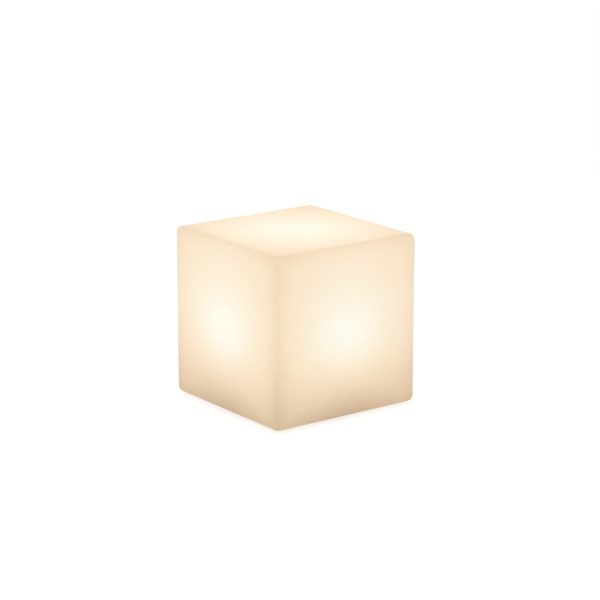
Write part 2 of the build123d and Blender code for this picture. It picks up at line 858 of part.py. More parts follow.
def cradle_screws():
    """Screws that hold the cradle up, heads down."""
    screw = pan_screw(screw_radius, cradle_screw_length, screw_head_radius, screw_head_height)
    return copies(Rot(180, 0, 0) * screw, corners(cradle_screw_x, cradle_screw_y), cradle_z)


def housing_bosses():
    """Bosses on the housing's wall that the screws from the tray go into."""
    top_z = housing_z + housing_boss_height
    boss = disc(housing_boss_radius, housing_z, top_z, housing_screw_circle, 0)
    half = web_thickness / 2
    boss += block(housing_screw_circle, skirt_radius - root, -half, half, housing_z, top_z)
    hole_top_z = housing_z + housing_screw_length
    boss -= disc(screw_radius + fit_gap, housing_z - past, hole_top_z, housing_screw_circle, 0)
    return [Rot(0, 0, angle) * boss for angle in angles(housing_screw_count, housing_screw_turn)]


def cell_saddles():
    """Ribs under the housing's ceiling that press down on the cells."""
    half = saddle_thickness / 2
    low, high = cell_z + saddle_bite, housing_ceiling_z + root
    ribs = [
        block(x - half, x + half, -cell_side_y, cell_side_y, low, high) for x in (-saddle_x, saddle_x)
    ]
    return ribs[0] + ribs[1] - cell_space(-cell_y) - cell_space(cell_y)


def module_housing():
    """Round cover over the electronics. The post and the dome stand on it."""
    can = fillet(top_edges(disc(skirt_radius, housing_z, housing_top_z)), housing_edge)
    can -= disc(skirt_radius - housing_wall, housing_z - past, housing_ceiling_z)
    can += housing_bosses()
    can += cell_saddles()
    hanging = [
        (corners(cradle_screw_x, cradle_screw_y), cradle_boss_radius, ear_z),
        (dome_screw_places, dome_boss_radius, housing_top_z - dome_screw_depth - dome_boss_floor),
    ]
    for places, radius, low in hanging:
        for x, y in places:
            can += disc(radius, low, housing_ceiling_z + root, x, y)
    for x, y in corners(cradle_screw_x, cradle_screw_y):
        can -= disc(screw_radius + fit_gap, ear_z - past, ear_z + cradle_screw_length, x, y)
    over = housing_top_z + past
    for x, y in dome_screw_places:
        can -= disc(screw_radius + fit_gap, housing_top_z - dome_screw_depth, over, x, y)
    for x, y in corners(sink_screw_place, sink_screw_place):
        can -= disc(screw_radius + fit_gap, housing_ceiling_z - past, over, x, y)
    return can - disc(grommet_hole_radius, housing_ceiling_z - past, over, 0, grommet_y)


# ================================================================ light module: post, boards and dome
dome_screw_places = round_places(dome_screw_circle, dome_screw_count)
top_screw_places = [(post_corner, post_corner), (-post_corner, -post_corner)]


def side_hole(radius, z):
    """Bar along Y through the front wall of the post and the board on it."""
    bar = Cylinder(radius, 2 * post_wall, rotation=(90, 0, 0))
    return Pos(0, -post_half, z) * bar


def heat_sink_post():
    """Aluminium post: a square base plate and a square tube that the light boards are screwed to."""
    half = sink_base_side / 2
    plate = block(-half, half, -half, half, housing_top_z, sink_top_z)
    plate = fillet(plate.edges().filter_by(Axis.Z), sink_base_corner)
    post = block(-post_half, post_half, -post_half, post_half, housing_top_z + root, post_top_z)
    bore = post_half - post_wall
    post = plate + post - block(-bore, bore, -bore, bore, housing_top_z - past, post_top_z + past)
    for x, y in corners(sink_screw_place, sink_screw_place):
        post -= disc(screw_radius + fit_gap, housing_top_z - past, sink_top_z + past, x, y)
    for angle in angles(4):
        for z in light_screw_heights:
            post -= Rot(0, 0, angle) * side_hole(small_screw_radius + fit_gap, z)
    for x, y in top_screw_places:
        low = top_board_top_z - light_screw_length
        post -= disc(small_screw_radius + fit_gap, low, post_top_z + past, x, y)
    return post


def sink_screws():
    """Screws from inside the housing up into the post's base plate."""
    screw = pan_screw(screw_radius, sink_screw_length, screw_head_radius, screw_head_height)
    return copies(
        Rot(180, 0, 0) * screw, corners(sink_screw_place, sink_screw_place), housing_ceiling_z
    )


def side_light_board(angle):
    """Upright light board on one side of the post, turned about Z from the front."""
    half = light_board_width / 2
    board = block(-half, half, -light_face, -post_half, light_board_low_z, post_top_z)
    for z in light_screw_heights:
        board -= side_hole(small_screw_radius + fit_gap, z)
    return Rot(0, 0, angle) * board


def side_leds(angle):
    """Two columns of light-emitting packages on an upright board."""
    length, width, height = led_size
    first = light_z - led_row_pitch * (led_rows - 1) / 2
    package = block(-width / 2, width / 2, -light_face - height, -light_face, -length / 2, length / 2)
    packages = [
        Pos(x, 0, first + led_row_pitch * row) * package
        for x in (-led_column_offset, led_column_offset)
        for row in range(led_rows)
    ]
    return group(Rot(0, 0, angle) * package for package in packages)


def top_light_board():
    """Square light board on the end of the post."""
    board = block(-post_half, post_half, -post_half, post_half, post_top_z, top_board_top_z)
    for x, y in top_screw_places:
        board -= disc(small_screw_radius + fit_gap, post_top_z - past, top_board_top_z + past, x, y)
    return board


def top_leds():
    """Light-emitting packages on the top board."""
    length, width, height = led_size
    package = block(-length / 2, length / 2, -width / 2, width / 2, 0, height)
    return copies(package, [(0, 0), *corners(top_led_offset, top_led_offset)], top_board_top_z)


def light_board_screws():
    """Small screws that hold the five light boards to the post."""
    screw = pan_screw(small_screw_radius, light_screw_length, small_head_radius, small_head_height)
    placed = [
        Rot(0, 0, angle) * Pos(0, -light_face, z) * Rot(90, 0, 0) * screw
        for angle in angles(4)
        for z in light_screw_heights
    ]
    return group([*placed, copies(screw, top_screw_places, top_board_top_z)])


def lamp_dome():
    """Frosted cover over the post, with a flat flange that seals to the housing."""
    dome = fillet(top_edges(disc(dome_radius, dome_z, dome_top_z)), dome_crown_radius)
    dome += disc(dome_flange_radius, dome_z, dome_flange_top_z)
    inside = disc(dome_inner_radius, dome_z - past, dome_top_z - dome_wall)
    dome -= fillet(top_edges(inside), max(dome_crown_radius - dome_wall, root))
    for x, y in dome_screw_places:
        dome -= disc(screw_radius + fit_gap, dome_z - past, dome_flange_top_z + past, x, y)
    return dome


def dome_gasket():
    """Flat seal under the dome's flange."""
    gasket = tube(dome_flange_radius, dome_inner_radius, housing_top_z, dome_z)
    for x, y in dome_screw_places:
        gasket -= disc(screw_radius + fit_gap, housing_top_z - past, dome_z + past, x, y)
    return gasket


def dome_screws():
    """Screws through the dome's flange into the housing."""
    length = dome_screw_depth + dome_flange_top_z - housing_top_z - fit_gap
    screw = pan_screw(screw_radius, length, screw_head_radius, screw_head_height)
    return copies(screw, dome_screw_places, dome_flange_top_z)


# ================================================================ light module: leads
def lead_grommet():
    """Rubber bush where the leads pass through the top of the housing."""
    low, high = housing_ceiling_z - grommet_flange_thickness, housing_top_z + grommet_flange_thickness
    neck = grommet_hole_radius - fit_gap
    bush = turned([
        (grommet_bore_radius, low), (grommet_flange_radius, low),
        (grommet_flange_radius, housing_ceiling_z), (neck, housing_ceiling_z), (neck, housing_top_z),
        (grommet_flange_radius, housing_top_z), (grommet_flange_radius, high),
        (grommet_bore_radius, high),
    ])
    return Pos(0, grommet_y, 0) * bush


def light_lead(side):
    """Lead from the board's plug, up through the grommet and in to the front light board."""
    x = side * lead_offset
    pad_z = light_screw_heights[0] + small_head_radius + 2 * lead_radius
    start_z = board_top_z + led_connector_size[2]
    return lead([(x, grommet_y, start_z), (x, grommet_y, pad_z), (x, -light_face, pad_z)])


def battery_lead(side):
    """Lead from a cell's end strip, down and in to the plug at the side of the board."""
    strip_x = cell_length / 2 + strip_thickness
    plug_x = board_width / 2
    plug_z = board_top_z + battery_connector_size[2] / 2
    return lead([
        (strip_x, side * cell_y, cell_z),
        (strip_x + battery_lead_reach + lead_bend / 2, side * cell_y, cell_z),
        (strip_x + battery_lead_reach, side * cell_y, cell_z - 2 * lead_bend),
        (strip_x + lead_bend, side * battery_lead_spread, plug_z),
        (plug_x, side * battery_lead_spread, plug_z),
    ])


# ================================================================ every piece under its own name
foot_corners = {
    "front_left": (-foot_place, -foot_place),
    "front_right": (foot_place, -foot_place),
    "rear_left": (-foot_place, foot_place),
    "rear_right": (foot_place, foot_place),
}
post_sides = {"front": 0, "right": 90, "rear": 180, "left": 270}
chip_x, chip_y = board_width / 5, station_y / 2
battery_connector_x = (board_width - battery_connector_size[0]) / 2
cell_end = cell_length / 2
strip_end = cell_end + strip_thickness

pieces = {
    "cube_shell": cube_shell(),
    "mounting_ring": mounting_ring(),
    "ring_gasket": ring_gasket(),
    "ring_inserts": ring_inserts(),
    "ring_screws": ring_screws(),
    "base_tray": base_tray(),
    "tray_seal": tray_seal(),
    "power_button": power_button(),
    "switch_body": switch_body(),
    "switch_plunger": switch_plunger(),
    "socket_shell": socket_shell(),
    "socket_tongue": socket_tongue(),
    "port_plug": port_plug(),
    "plug_anchor": plug_anchor(),
    "light_pipe": light_pipe(),
    "vent_plug": vent_plug(),
    "control_board": control_board(),
    "board_screws": board_screws(),
    "charger_chip": board_block(-chip_x, chip_y, chip_size),
    "driver_chip": board_block(-chip_x, -chip_y, chip_size),
    "choke_coil": choke_coil(),
    "capacitors": capacitors(),
    "led_connector": board_block(0, grommet_y, led_connector_size),
    "battery_connector": board_block(battery_connector_x, 0, battery_connector_size),
    "status_led": status_led(),
    "cell_front": battery_cell(-cell_y, 1),
    "cell_rear": battery_cell(cell_y, -1),
    "joining_strip": nickel_strip(-strip_end, -cell_end, -cell_y, cell_y),
    "strip_front": nickel_strip(cell_end, strip_end, -cell_y, -cell_y),
    "strip_rear": nickel_strip(cell_end, strip_end, cell_y, cell_y),
    "battery_cradle": battery_cradle(),
    "cradle_screws": cradle_screws(),
    "housing_gasket": housing_gasket(),
    "module_housing": module_housing(),
    "housing_screws": housing_screws(),
    "heat_sink_post": heat_sink_post(),
    "sink_screws": sink_screws(),
    "light_board_top": top_light_board(),
    "leds_top": top_leds(),
    "light_board_screws": light_board_screws(),
    "dome_gasket": dome_gasket(),
    "lamp_dome": lamp_dome(),
    "dome_screws": dome_screws(),
    "lead_grommet": lead_grommet(),
    "light_lead_left": light_lead(-1),
    "light_lead_right": light_lead(1),
    "battery_lead_front": battery_lead(-1),
    "battery_lead_rear": battery_lead(1),
}
for corner, (x, y) in foot_corners.items():
    pieces[f"foot_{corner}"] = foot(x, y)
for side, angle in post_sides.items():
    pieces[f"light_board_{side}"] = side_light_board(angle)
    pieces[f"leds_{side}"] = side_leds(angle)

os.makedirs("parts", exist_ok=True)
for name, piece in pieces.items():
    export_step(piece, f"parts/{name}.step")
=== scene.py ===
"""Looks of a cordless glowing cube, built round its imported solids.

Run as a script it lays a smooth skin over the cube, turns its feet, gives every solid its finish and
sets the stage. No solid is moved or reshaped. Lengths are in metres, and angles in radians unless a
name says degrees. The cube stands on the floor at z = 0, with the light post at its centre.
"""

import json
import math

import bmesh
import bpy
import numpy as np
from mathutils import Matrix, Vector


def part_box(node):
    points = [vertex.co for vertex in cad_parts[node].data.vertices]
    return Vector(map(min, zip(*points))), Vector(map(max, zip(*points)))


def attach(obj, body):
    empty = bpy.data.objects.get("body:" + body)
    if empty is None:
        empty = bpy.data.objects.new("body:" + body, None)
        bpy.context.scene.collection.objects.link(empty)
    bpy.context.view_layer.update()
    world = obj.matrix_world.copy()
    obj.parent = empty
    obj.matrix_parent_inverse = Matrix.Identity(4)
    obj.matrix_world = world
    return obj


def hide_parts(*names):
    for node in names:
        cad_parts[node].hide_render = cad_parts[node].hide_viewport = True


bl_info = {
    "name": "Cube light looks",
    "version": (1, 0, 0),
    "blender": (4, 5, 0),
    "location": "3D View > Sidebar > Cube light",
    "description": "Skin, finishes and stage of a cordless glowing cube",
    "category": "Object",
}

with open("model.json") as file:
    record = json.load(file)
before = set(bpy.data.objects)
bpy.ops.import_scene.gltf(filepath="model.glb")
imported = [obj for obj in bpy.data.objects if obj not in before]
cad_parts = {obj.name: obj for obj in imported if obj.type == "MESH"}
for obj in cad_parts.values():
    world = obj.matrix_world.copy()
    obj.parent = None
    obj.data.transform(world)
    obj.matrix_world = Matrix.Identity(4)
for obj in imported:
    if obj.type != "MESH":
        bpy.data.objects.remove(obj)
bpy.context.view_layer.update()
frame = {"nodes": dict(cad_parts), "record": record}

MM = 0.001
QUARTER = math.pi / 2
SAME_PLACE = 0.001 * MM      # points nearer to each other than this are one point
SHARP_DEGREES = 40           # faces that meet at more than this show a sharp edge
FLOOR_SIDES = 96

shell_low, shell_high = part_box("cube_shell")
gasket_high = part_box("ring_gasket")[1]
HALF_SIDE = (shell_high.x - shell_low.x) / 2
LIGHT_Z = (shell_low.z + shell_high.z) / 2
SLOT_OF = {row["node"]: row["material_slot"] for row in frame["record"]["subparts"]}
FEET = [node for node, slot_name in SLOT_OF.items() if slot_name == "foot_rubber"]
foot_low, foot_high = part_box(FEET[0])


# ================================================================ settings that a user would change
def length(label, words, default):
    """Setting in metres."""
    return bpy.props.FloatProperty(
        name=label, description=words, default=default, min=0.0,
        subtype="DISTANCE", unit="LENGTH", precision=5,
    )


def angle(label, words, degrees):
    """Setting shown in degrees."""
    return bpy.props.FloatProperty(
        name=label, description=words, default=math.radians(degrees), subtype="ANGLE", unit="ROTATION"
    )


def share(label, words, default, low=0.0, high=10.0):
    """Plain number."""
    return bpy.props.FloatProperty(
        name=label, description=words, default=default, min=low, max=high, precision=4
    )


def count(label, words, default):
    """Whole number."""
    return bpy.props.IntProperty(name=label, description=words, default=default, min=1)


def colour(label, words, default):
    """Linear colour."""
    return bpy.props.FloatVectorProperty(
        name=label, description=words, default=default, min=0.0, max=1.0, size=3, subtype="COLOR"
    )


class CubeSkinSettings(bpy.types.PropertyGroup):
    """Sizes of the moulded cube."""

    half_side: length("Half side", "From the cube's centre to a face", HALF_SIDE)
    centre_height: length("Centre height", "The cube's centre above the floor", LIGHT_Z)
    edge_radius: length("Edge radius", "Rounding of the outer edges", 8 * MM)
    wall: length("Wall", "Thickness of the moulded wall", 3 * MM)
    pocket_radius: length("Pocket radius", "Stepped pocket round the opening", gasket_high.x + 0.5 * MM)
    pocket_roof: length("Pocket roof", "Height of the pocket's roof", gasket_high.z)
    opening_radius: length("Opening radius", "The round opening in the base", 65.1 * MM)
    rim_break: length("Rim break", "Softening of the cut rims", 0.4 * MM)
    boss_count: count("Bosses", "Bosses that hold the ring's inserts", 6)
    boss_circle: length("Boss circle", "From the cube's axis to a boss", 70.3 * MM)
    boss_radius: length("Boss radius", "Outside of a boss", 4.6 * MM)
    boss_top: length("Boss top", "Height of a boss's closed end", 15.5 * MM)
    bore_radius: length("Bore radius", "Bore that holds an insert", 2.4 * MM)
    bore_top: length("Bore top", "Height of a bore's closed end", 13.5 * MM)
    boss_steps: count("Steps round a boss", "Faces round one boss", 32)
    side_steps: count("Steps along a side", "Faces along one side of the cube", 28)
    bend_steps: count("Steps round an edge", "Faces round one rounded edge", 10)


class FootSettings(bpy.types.PropertyGroup):
    """Sizes of the rubber feet. Heights are from the floor."""

    pad_radius: length("Pad radius", "Outside of the pad", (foot_high.x - foot_low.x) / 2)
    pad_top: length("Pad top", "Height of the pad's seat in the wall", 3 * MM)
    edge: length("Edge", "Rounding of the pad's lower edge", 0.8 * MM)
    groove_depth: length("Groove depth", "Depth of the tread's grooves", 0.5 * MM)
    groove_width: length("Groove width", "Width of one groove", 0.7 * MM)
    groove_lean: length("Groove lean", "How far a groove's sides lean inwards", 0.15 * MM)
    inner_groove: length("Inner groove", "Radius of the inner groove's middle", 2.4 * MM)
    outer_groove: length("Outer groove", "Radius of the outer groove's middle", 4.6 * MM)
    stem_radius: length("Stem radius", "Stem through the wall", 2 * MM)
    barb_foot: length("Barb foot", "Height where the barb starts", 5.1 * MM)
    barb_top: length("Barb top", "Height of the barb's end", foot_high.z)
    barb_radius: length("Barb radius", "Widest part of the barb", 3.2 * MM)
    tip_radius: length("Tip radius", "Narrow end of the barb", 1.4 * MM)
    round_steps: count("Steps round a foot", "Faces round one foot", 64)
    bend_steps: count("Steps round the edge", "Faces round the pad's lower edge", 6)


class GlowSettings(bpy.types.PropertyGroup):
    """How the light inside shows on the skin. Distances are shares of half the cube's side."""

    fill: share("Fill", "Light that the white inside spreads evenly", 0.434)
    direct: share("Direct", "Light that comes straight from the lamp", 0.528)
    fall_off: share("Fall-off", "Power of the distance from the lamp", 2.495)
    lamp_drop: share("Lamp drop", "How far the lamp's middle lies under the centre", 0.073)
    lamp_height: share("Lamp height", "Height of the light's spread against its width", 0.936)
    hot_spot: share("Hot spot", "Extra light where a face is nearest to the lamp", 0.042)
    hot_reach: share("Hot spot reach", "Depth of the extra light", 0.072)
    edge_shade: share("Edge shade", "Loss of light along the rounded edges", 0.051)
    edge_reach: share("Edge reach", "Width of the shade beside an edge", 0.22)
    low_shade: share("Low shade", "Loss of light from the top to the base", 0.162)
    low_power: share("Low shade power", "How the loss gathers towards the base", 0.963)
    housing_shade: share("Housing shade", "Shade of the housing in the middle of the base", 0.179)
    housing_reach: share("Housing reach", "Half width of the housing's shade", 0.65)
    under_shade: share("Underside shade", "Loss of light under the cube", 0.08)
    top_shade: share("Top shade", "Loss of light on the top, for what it mirrors of the room", 0.048)
    dark: colour("Darkest", "Colour at the darkest level", (0.625, 0.458, 0.300))
    dim: colour("Dim", "Colour near the base", (0.742, 0.574, 0.402))
    soft: colour("Soft", "Colour beside the edges", (0.880, 0.701, 0.503))
    warm: colour("Warm", "Colour between edge and middle", (0.956, 0.799, 0.597))
    light: colour("Light", "Colour round the hot spot", (0.984, 0.876, 0.694))
    bright: colour("Bright", "Colour of the hot spot", (1.0, 0.988, 0.868))
    body: colour("Body", "Colour of the plastic without its glow", (0.205, 0.175, 0.135))
    mirrored: colour("Mirrored", "Room light on the skin, taken off its glow", (0.212, 0.195, 0.155))


class LampSettings(bpy.types.PropertyGroup):
    """Places and colour of the light packages."""

    row_pitch: length("Row pitch", "From one row of packages to the next", 9 * MM)
    column_offset: length("Column offset", "From a light board's middle to a column", 4.6 * MM)
    top_offset: length("Top offset", "From the top board's middle to its outer packages", 4.4 * MM)
    window_radius: length("Window radius", "Round window of a package", 1.22 * MM)
    window_edge: length("Window edge", "Width of the blend round a window", 0.12 * MM)
    package: colour("Package", "White body of a package", (0.78, 0.78, 0.75))
    phosphor: colour("Phosphor", "Window without its glow", (0.74, 0.47, 0.09))
    spill: colour("Spill", "Glow of the body round its window", (0.06, 0.05, 0.03))
    light: colour("Light", "Glow of the phosphor", (0.66, 0.50, 0.26))


class StageSettings(bpy.types.PropertyGroup):
    """Camera, floor and lamps."""

    azimuth: angle("Azimuth", "Turn of the camera round the cube", -36.7)
    elevation: angle("Elevation", "Height of the camera as an angle", 15.35)
    distance: length("Distance", "From the camera to the cube's centre", 26 * HALF_SIDE)
    lens: share("Lens", "Focal length in millimetres on a 36 mm sensor", 134.62, 1.0, 500.0)
    aim_right: angle("Aim right", "Turn of the camera off the cube's centre, to the right", 0.1306)
    aim_up: angle("Aim up", "Turn of the camera off the cube's centre, upwards", 0.3458)
    floor_radius: length("Floor radius", "Round floor under the cube", 6.0)
    floor_gap: length("Floor gap", "From the floor to the feet, so that both can be told apart", 0.1 * MM)
    floor_tone: share("Floor tone", "Share of light that the floor reflects", 0.40, 0.0, 1.0)
    floor_lift: share("Floor lift", "Light that keeps the floor white", 0.69)
    table_light: share("Table light", "Light that the object gets from the floor", 0.85)
    room_light: share("Room light", "Light of the white room", 0.82)
    key_power: share("Key lamp", "Power of the lamp on the left, in watts", 9.0, 0.0, 1000.0)
    key_size: length("Key lamp size", "Side of the square lamp", 1.6)
    key_distance: length("Key lamp distance", "From the lamp to the cube", 2.4)
    key_azimuth: angle("Key azimuth", "Turn of the lamp round the cube", -52)
    key_elevation: angle("Key elevation", "Height of the lamp as an angle", 36)


# ================================================================ wiring of node trees
class Wiring:
    """Adds nodes to one tree. Every method gives back an output socket."""

    def __init__(self, tree):
        self.tree = tree

    def node(self, kind, inputs=None, **settings):
        """New node with its settings, and its inputs set or linked."""
        made = self.tree.nodes.new(kind)
        for name, value in settings.items():
            setattr(made, name, value)
        for name, value in (inputs or {}).items():
            self.feed(made.inputs[name], value)
        return made

    def feed(self, socket, value):
        """Links a socket to an input, or sets the input's own value."""
        if isinstance(value, bpy.types.NodeSocket):
            self.tree.links.new(value, socket)
        else:
            socket.default_value = value

    def sum(self, operation, first, second=0.0, third=0.0, clamp=False):
        """Math node."""
        made = self.node("ShaderNodeMath", {0: first, 1: second, 2: third}, operation=operation)
        made.use_clamp = clamp
        return made.outputs[0]

    def vector(self, operation, first, second=(0.0, 0.0, 0.0)):
        """Vector Math node with a vector result."""
        return self.node("ShaderNodeVectorMath", {0: first, 1: second}, operation=operation).outputs["Vector"]

    def scaled(self, vector, scale):
        """A vector or colour times a number."""
        return self.node(
            "ShaderNodeVectorMath", {0: vector, "Scale": scale}, operation="SCALE"
        ).outputs["Vector"]

    def parts(self, vector):
        """X, Y and Z of a vector."""
        return self.node("ShaderNodeSeparateXYZ", {0: vector}).outputs[:]

    def joined(self, x, y, z):
        """Vector from three numbers."""
        return self.node("ShaderNodeCombineXYZ", {0: x, 1: y, 2: z}).outputs[0]

    def place(self):
        """Object coordinates."""
        return self.node("ShaderNodeTexCoord").outputs["Object"]

    def noise(self, place, scale, detail=2.0, roughness=0.5, distortion=0.0):
        """Noise between 0 and 1."""
        inputs = {
            "Vector": place, "Scale": scale, "Detail": detail, "Roughness": roughness,
            "Distortion": distortion,
        }
        return self.node("ShaderNodeTexNoise", inputs).outputs["Fac"]

    def cells(self, place, scale):
        """Distance inside the cells of a Voronoi texture."""
        return self.node("ShaderNodeTexVoronoi", {"Vector": place, "Scale": scale}).outputs["Distance"]

    def ramp(self, value, stops):
        """Colour ramp through (place, colour) stops."""
        made = self.node("ShaderNodeValToRGB", {0: value})
        elements = made.color_ramp.elements
        while len(elements) < len(stops):
            elements.new(1.0)
        for element, (at, shade) in zip(elements, stops):
            element.position = at
            element.color = (*shade, 1.0)
        return made.outputs["Color"]

    def mix(self, amount, first, second):
        """Colour between two colours."""
        made = self.node("ShaderNodeMix", data_type="RGBA")
        self.feed(made.inputs["Factor"], amount)
        self.feed(made.inputs[6], first if isinstance(first, bpy.types.NodeSocket) else (*first, 1.0))
        self.feed(made.inputs[7], second if isinstance(second, bpy.types.NodeSocket) else (*second, 1.0))
        return made.outputs[2]

    def step(self, value, low, high):
        """0 below low, 1 above high, smooth between."""
        made = self.node(
            "ShaderNodeMapRange", {"Value": value, "From Min": low, "From Max": high},
            interpolation_type="SMOOTHSTEP",
        )
        return made.outputs["Result"]

    def group(self, build, values):
        """Places the node group that a function builds, once for all, and gives its outputs by name."""
        tree = bpy.data.node_groups.get(build.__name__) or build(build.__name__).tree
        return self.node("ShaderNodeGroup", values, node_tree=tree).outputs


FLOAT, COLOUR, VECTOR = "NodeSocketFloat", "NodeSocketColor", "NodeSocketVector"


def new_group(name, inputs, outputs):
    """Shader node group with named sockets: its wiring, its inputs by name and its output node."""
    group = bpy.data.node_groups.new(name, "ShaderNodeTree")
    for label, kind, default in inputs:
        group.interface.new_socket(label, in_out="INPUT", socket_type=kind).default_value = default
    for label, kind in outputs:
        group.interface.new_socket(label, in_out="OUTPUT", socket_type=kind)
    entry = group.nodes.new("NodeGroupInput")
    leave = group.nodes.new("NodeGroupOutput")
    wires = Wiring(group)
    return wires, entry.outputs, leave


def fine_grain(name):
    """Moulded or rubbed surface: a fine grain, broad soft changes of tone, and uneven gloss."""
    wires, given, leave = new_group(
        name,
        [
            ("Color", COLOUR, (0.5, 0.5, 0.5, 1.0)), ("Tone Change", FLOAT, 0.05),
            ("Grain Size", FLOAT, 0.6 * MM), ("Roughness", FLOAT, 0.5), ("Roughness Change", FLOAT, 0.06),
            ("Stretch", VECTOR, (1.0, 1.0, 1.0)),
        ],
        [("Color", COLOUR), ("Roughness", FLOAT), ("Height", FLOAT)],
    )
    place = wires.vector("MULTIPLY", wires.place(), given["Stretch"])
    fine = wires.noise(place, wires.sum("DIVIDE", 1.0, given["Grain Size"]), 3.0, 0.6)
    broad = wires.noise(place, 24.0, 2.0, 0.5, 0.4)
    change = wires.sum("ADD", wires.sum("MULTIPLY", fine, 0.5), broad)
    change = wires.sum("SUBTRACT", change, 0.75)
    tone = wires.sum("MULTIPLY_ADD", change, given["Tone Change"], 1.0)
    wires.feed(leave.inputs["Color"], wires.scaled(given["Color"], tone))
    gloss = wires.sum("MULTIPLY_ADD", change, given["Roughness Change"], given["Roughness"], clamp=True)
    wires.feed(leave.inputs["Roughness"], gloss)
    wires.feed(leave.inputs["Height"], fine)
    return wires


def hairlines(name):
    """Thin marks of handling that cross each other in two directions."""
    wires, given, leave = new_group(
        name, [("Width", FLOAT, 0.2 * MM), ("Amount", FLOAT, 0.3)], [("Mask", FLOAT)]
    )
    scale = wires.sum("DIVIDE", 1.0, given["Width"])
    lines = []
    for stretch in ((1.0, 0.03, 0.4), (0.05, 1.0, 0.3)):
        stretched = wires.vector("MULTIPLY", wires.place(), stretch)
        lines.append(wires.step(wires.noise(stretched, scale, 1.0, 0.5, 0.2), 0.66, 0.74))
    both = wires.sum("MAXIMUM", *lines)
    wires.feed(leave.inputs["Mask"], wires.sum("MULTIPLY", both, given["Amount"]))
    return wires


def printed_tracks(name):
    """Solder mask over copper tracks, with tinned pads: long bricks give the tracks, cells the pads.
    A level board is printed on x and y, and an upright one on x + y and z."""
    wires, given, leave = new_group(
        name,
        [
            ("Mask Color", COLOUR, (0.0, 0.2, 0.05, 1.0)), ("Track Color", COLOUR, (0.05, 0.3, 0.1, 1.0)),
            ("Pad Color", COLOUR, (0.75, 0.72, 0.65, 1.0)), ("Pitch", FLOAT, 2.0 * MM),
        ],
        [("Color", COLOUR), ("Metal", FLOAT), ("Height", FLOAT)],
    )
    x, y, z = wires.parts(wires.place())
    _, _, facing = wires.parts(wires.node("ShaderNodeNewGeometry").outputs["True Normal"])
    level = wires.sum("GREATER_THAN", wires.sum("ABSOLUTE", facing), 0.7)
    upright = wires.joined(wires.sum("ADD", x, y), z, 0.0)
    turned = wires.node(
        "ShaderNodeMix", {0: level, 4: upright, 5: wires.joined(x, y, 0.0)}, data_type="VECTOR"
    ).outputs[1]
    scale = wires.sum("DIVIDE", 1.0, given["Pitch"])
    bricks = wires.node(
        "ShaderNodeTexBrick",
        {
            "Vector": turned, "Scale": scale, "Mortar Size": 0.09, "Mortar Smooth": 0.1,
            "Brick Width": 3.7, "Row Height": 0.62,
        },
        offset=0.37, squash=1.6,
    ).outputs["Fac"]
    dots = wires.cells(turned, wires.sum("MULTIPLY", scale, 0.45))
    pads = wires.sum("SUBTRACT", 1.0, wires.step(dots, 0.13, 0.16))
    print_colour = wires.mix(bricks, given["Mask Color"], given["Track Color"])
    wires.feed(leave.inputs["Color"], wires.mix(pads, print_colour, given["Pad Color"]))
    wires.feed(leave.inputs["Metal"], pads)
    wires.feed(leave.inputs["Height"], wires.sum("MAXIMUM", bricks, pads))
    return wires


GLOW_INPUTS = (
    "fill", "direct", "fall_off", "lamp_drop", "lamp_height", "hot_spot", "hot_reach", "edge_shade",
    "edge_reach", "low_shade", "low_power", "housing_shade", "housing_reach", "under_shade", "top_shade",
)
# Heights from the centre, in half sides: where the shade of the base begins, and the bands in which
# the shades of the underside and of the top come in.
LOW_START = 0.887
UNDER_BAND = (0.96, 1.0)
TOP_BAND = (0.972, 0.998)


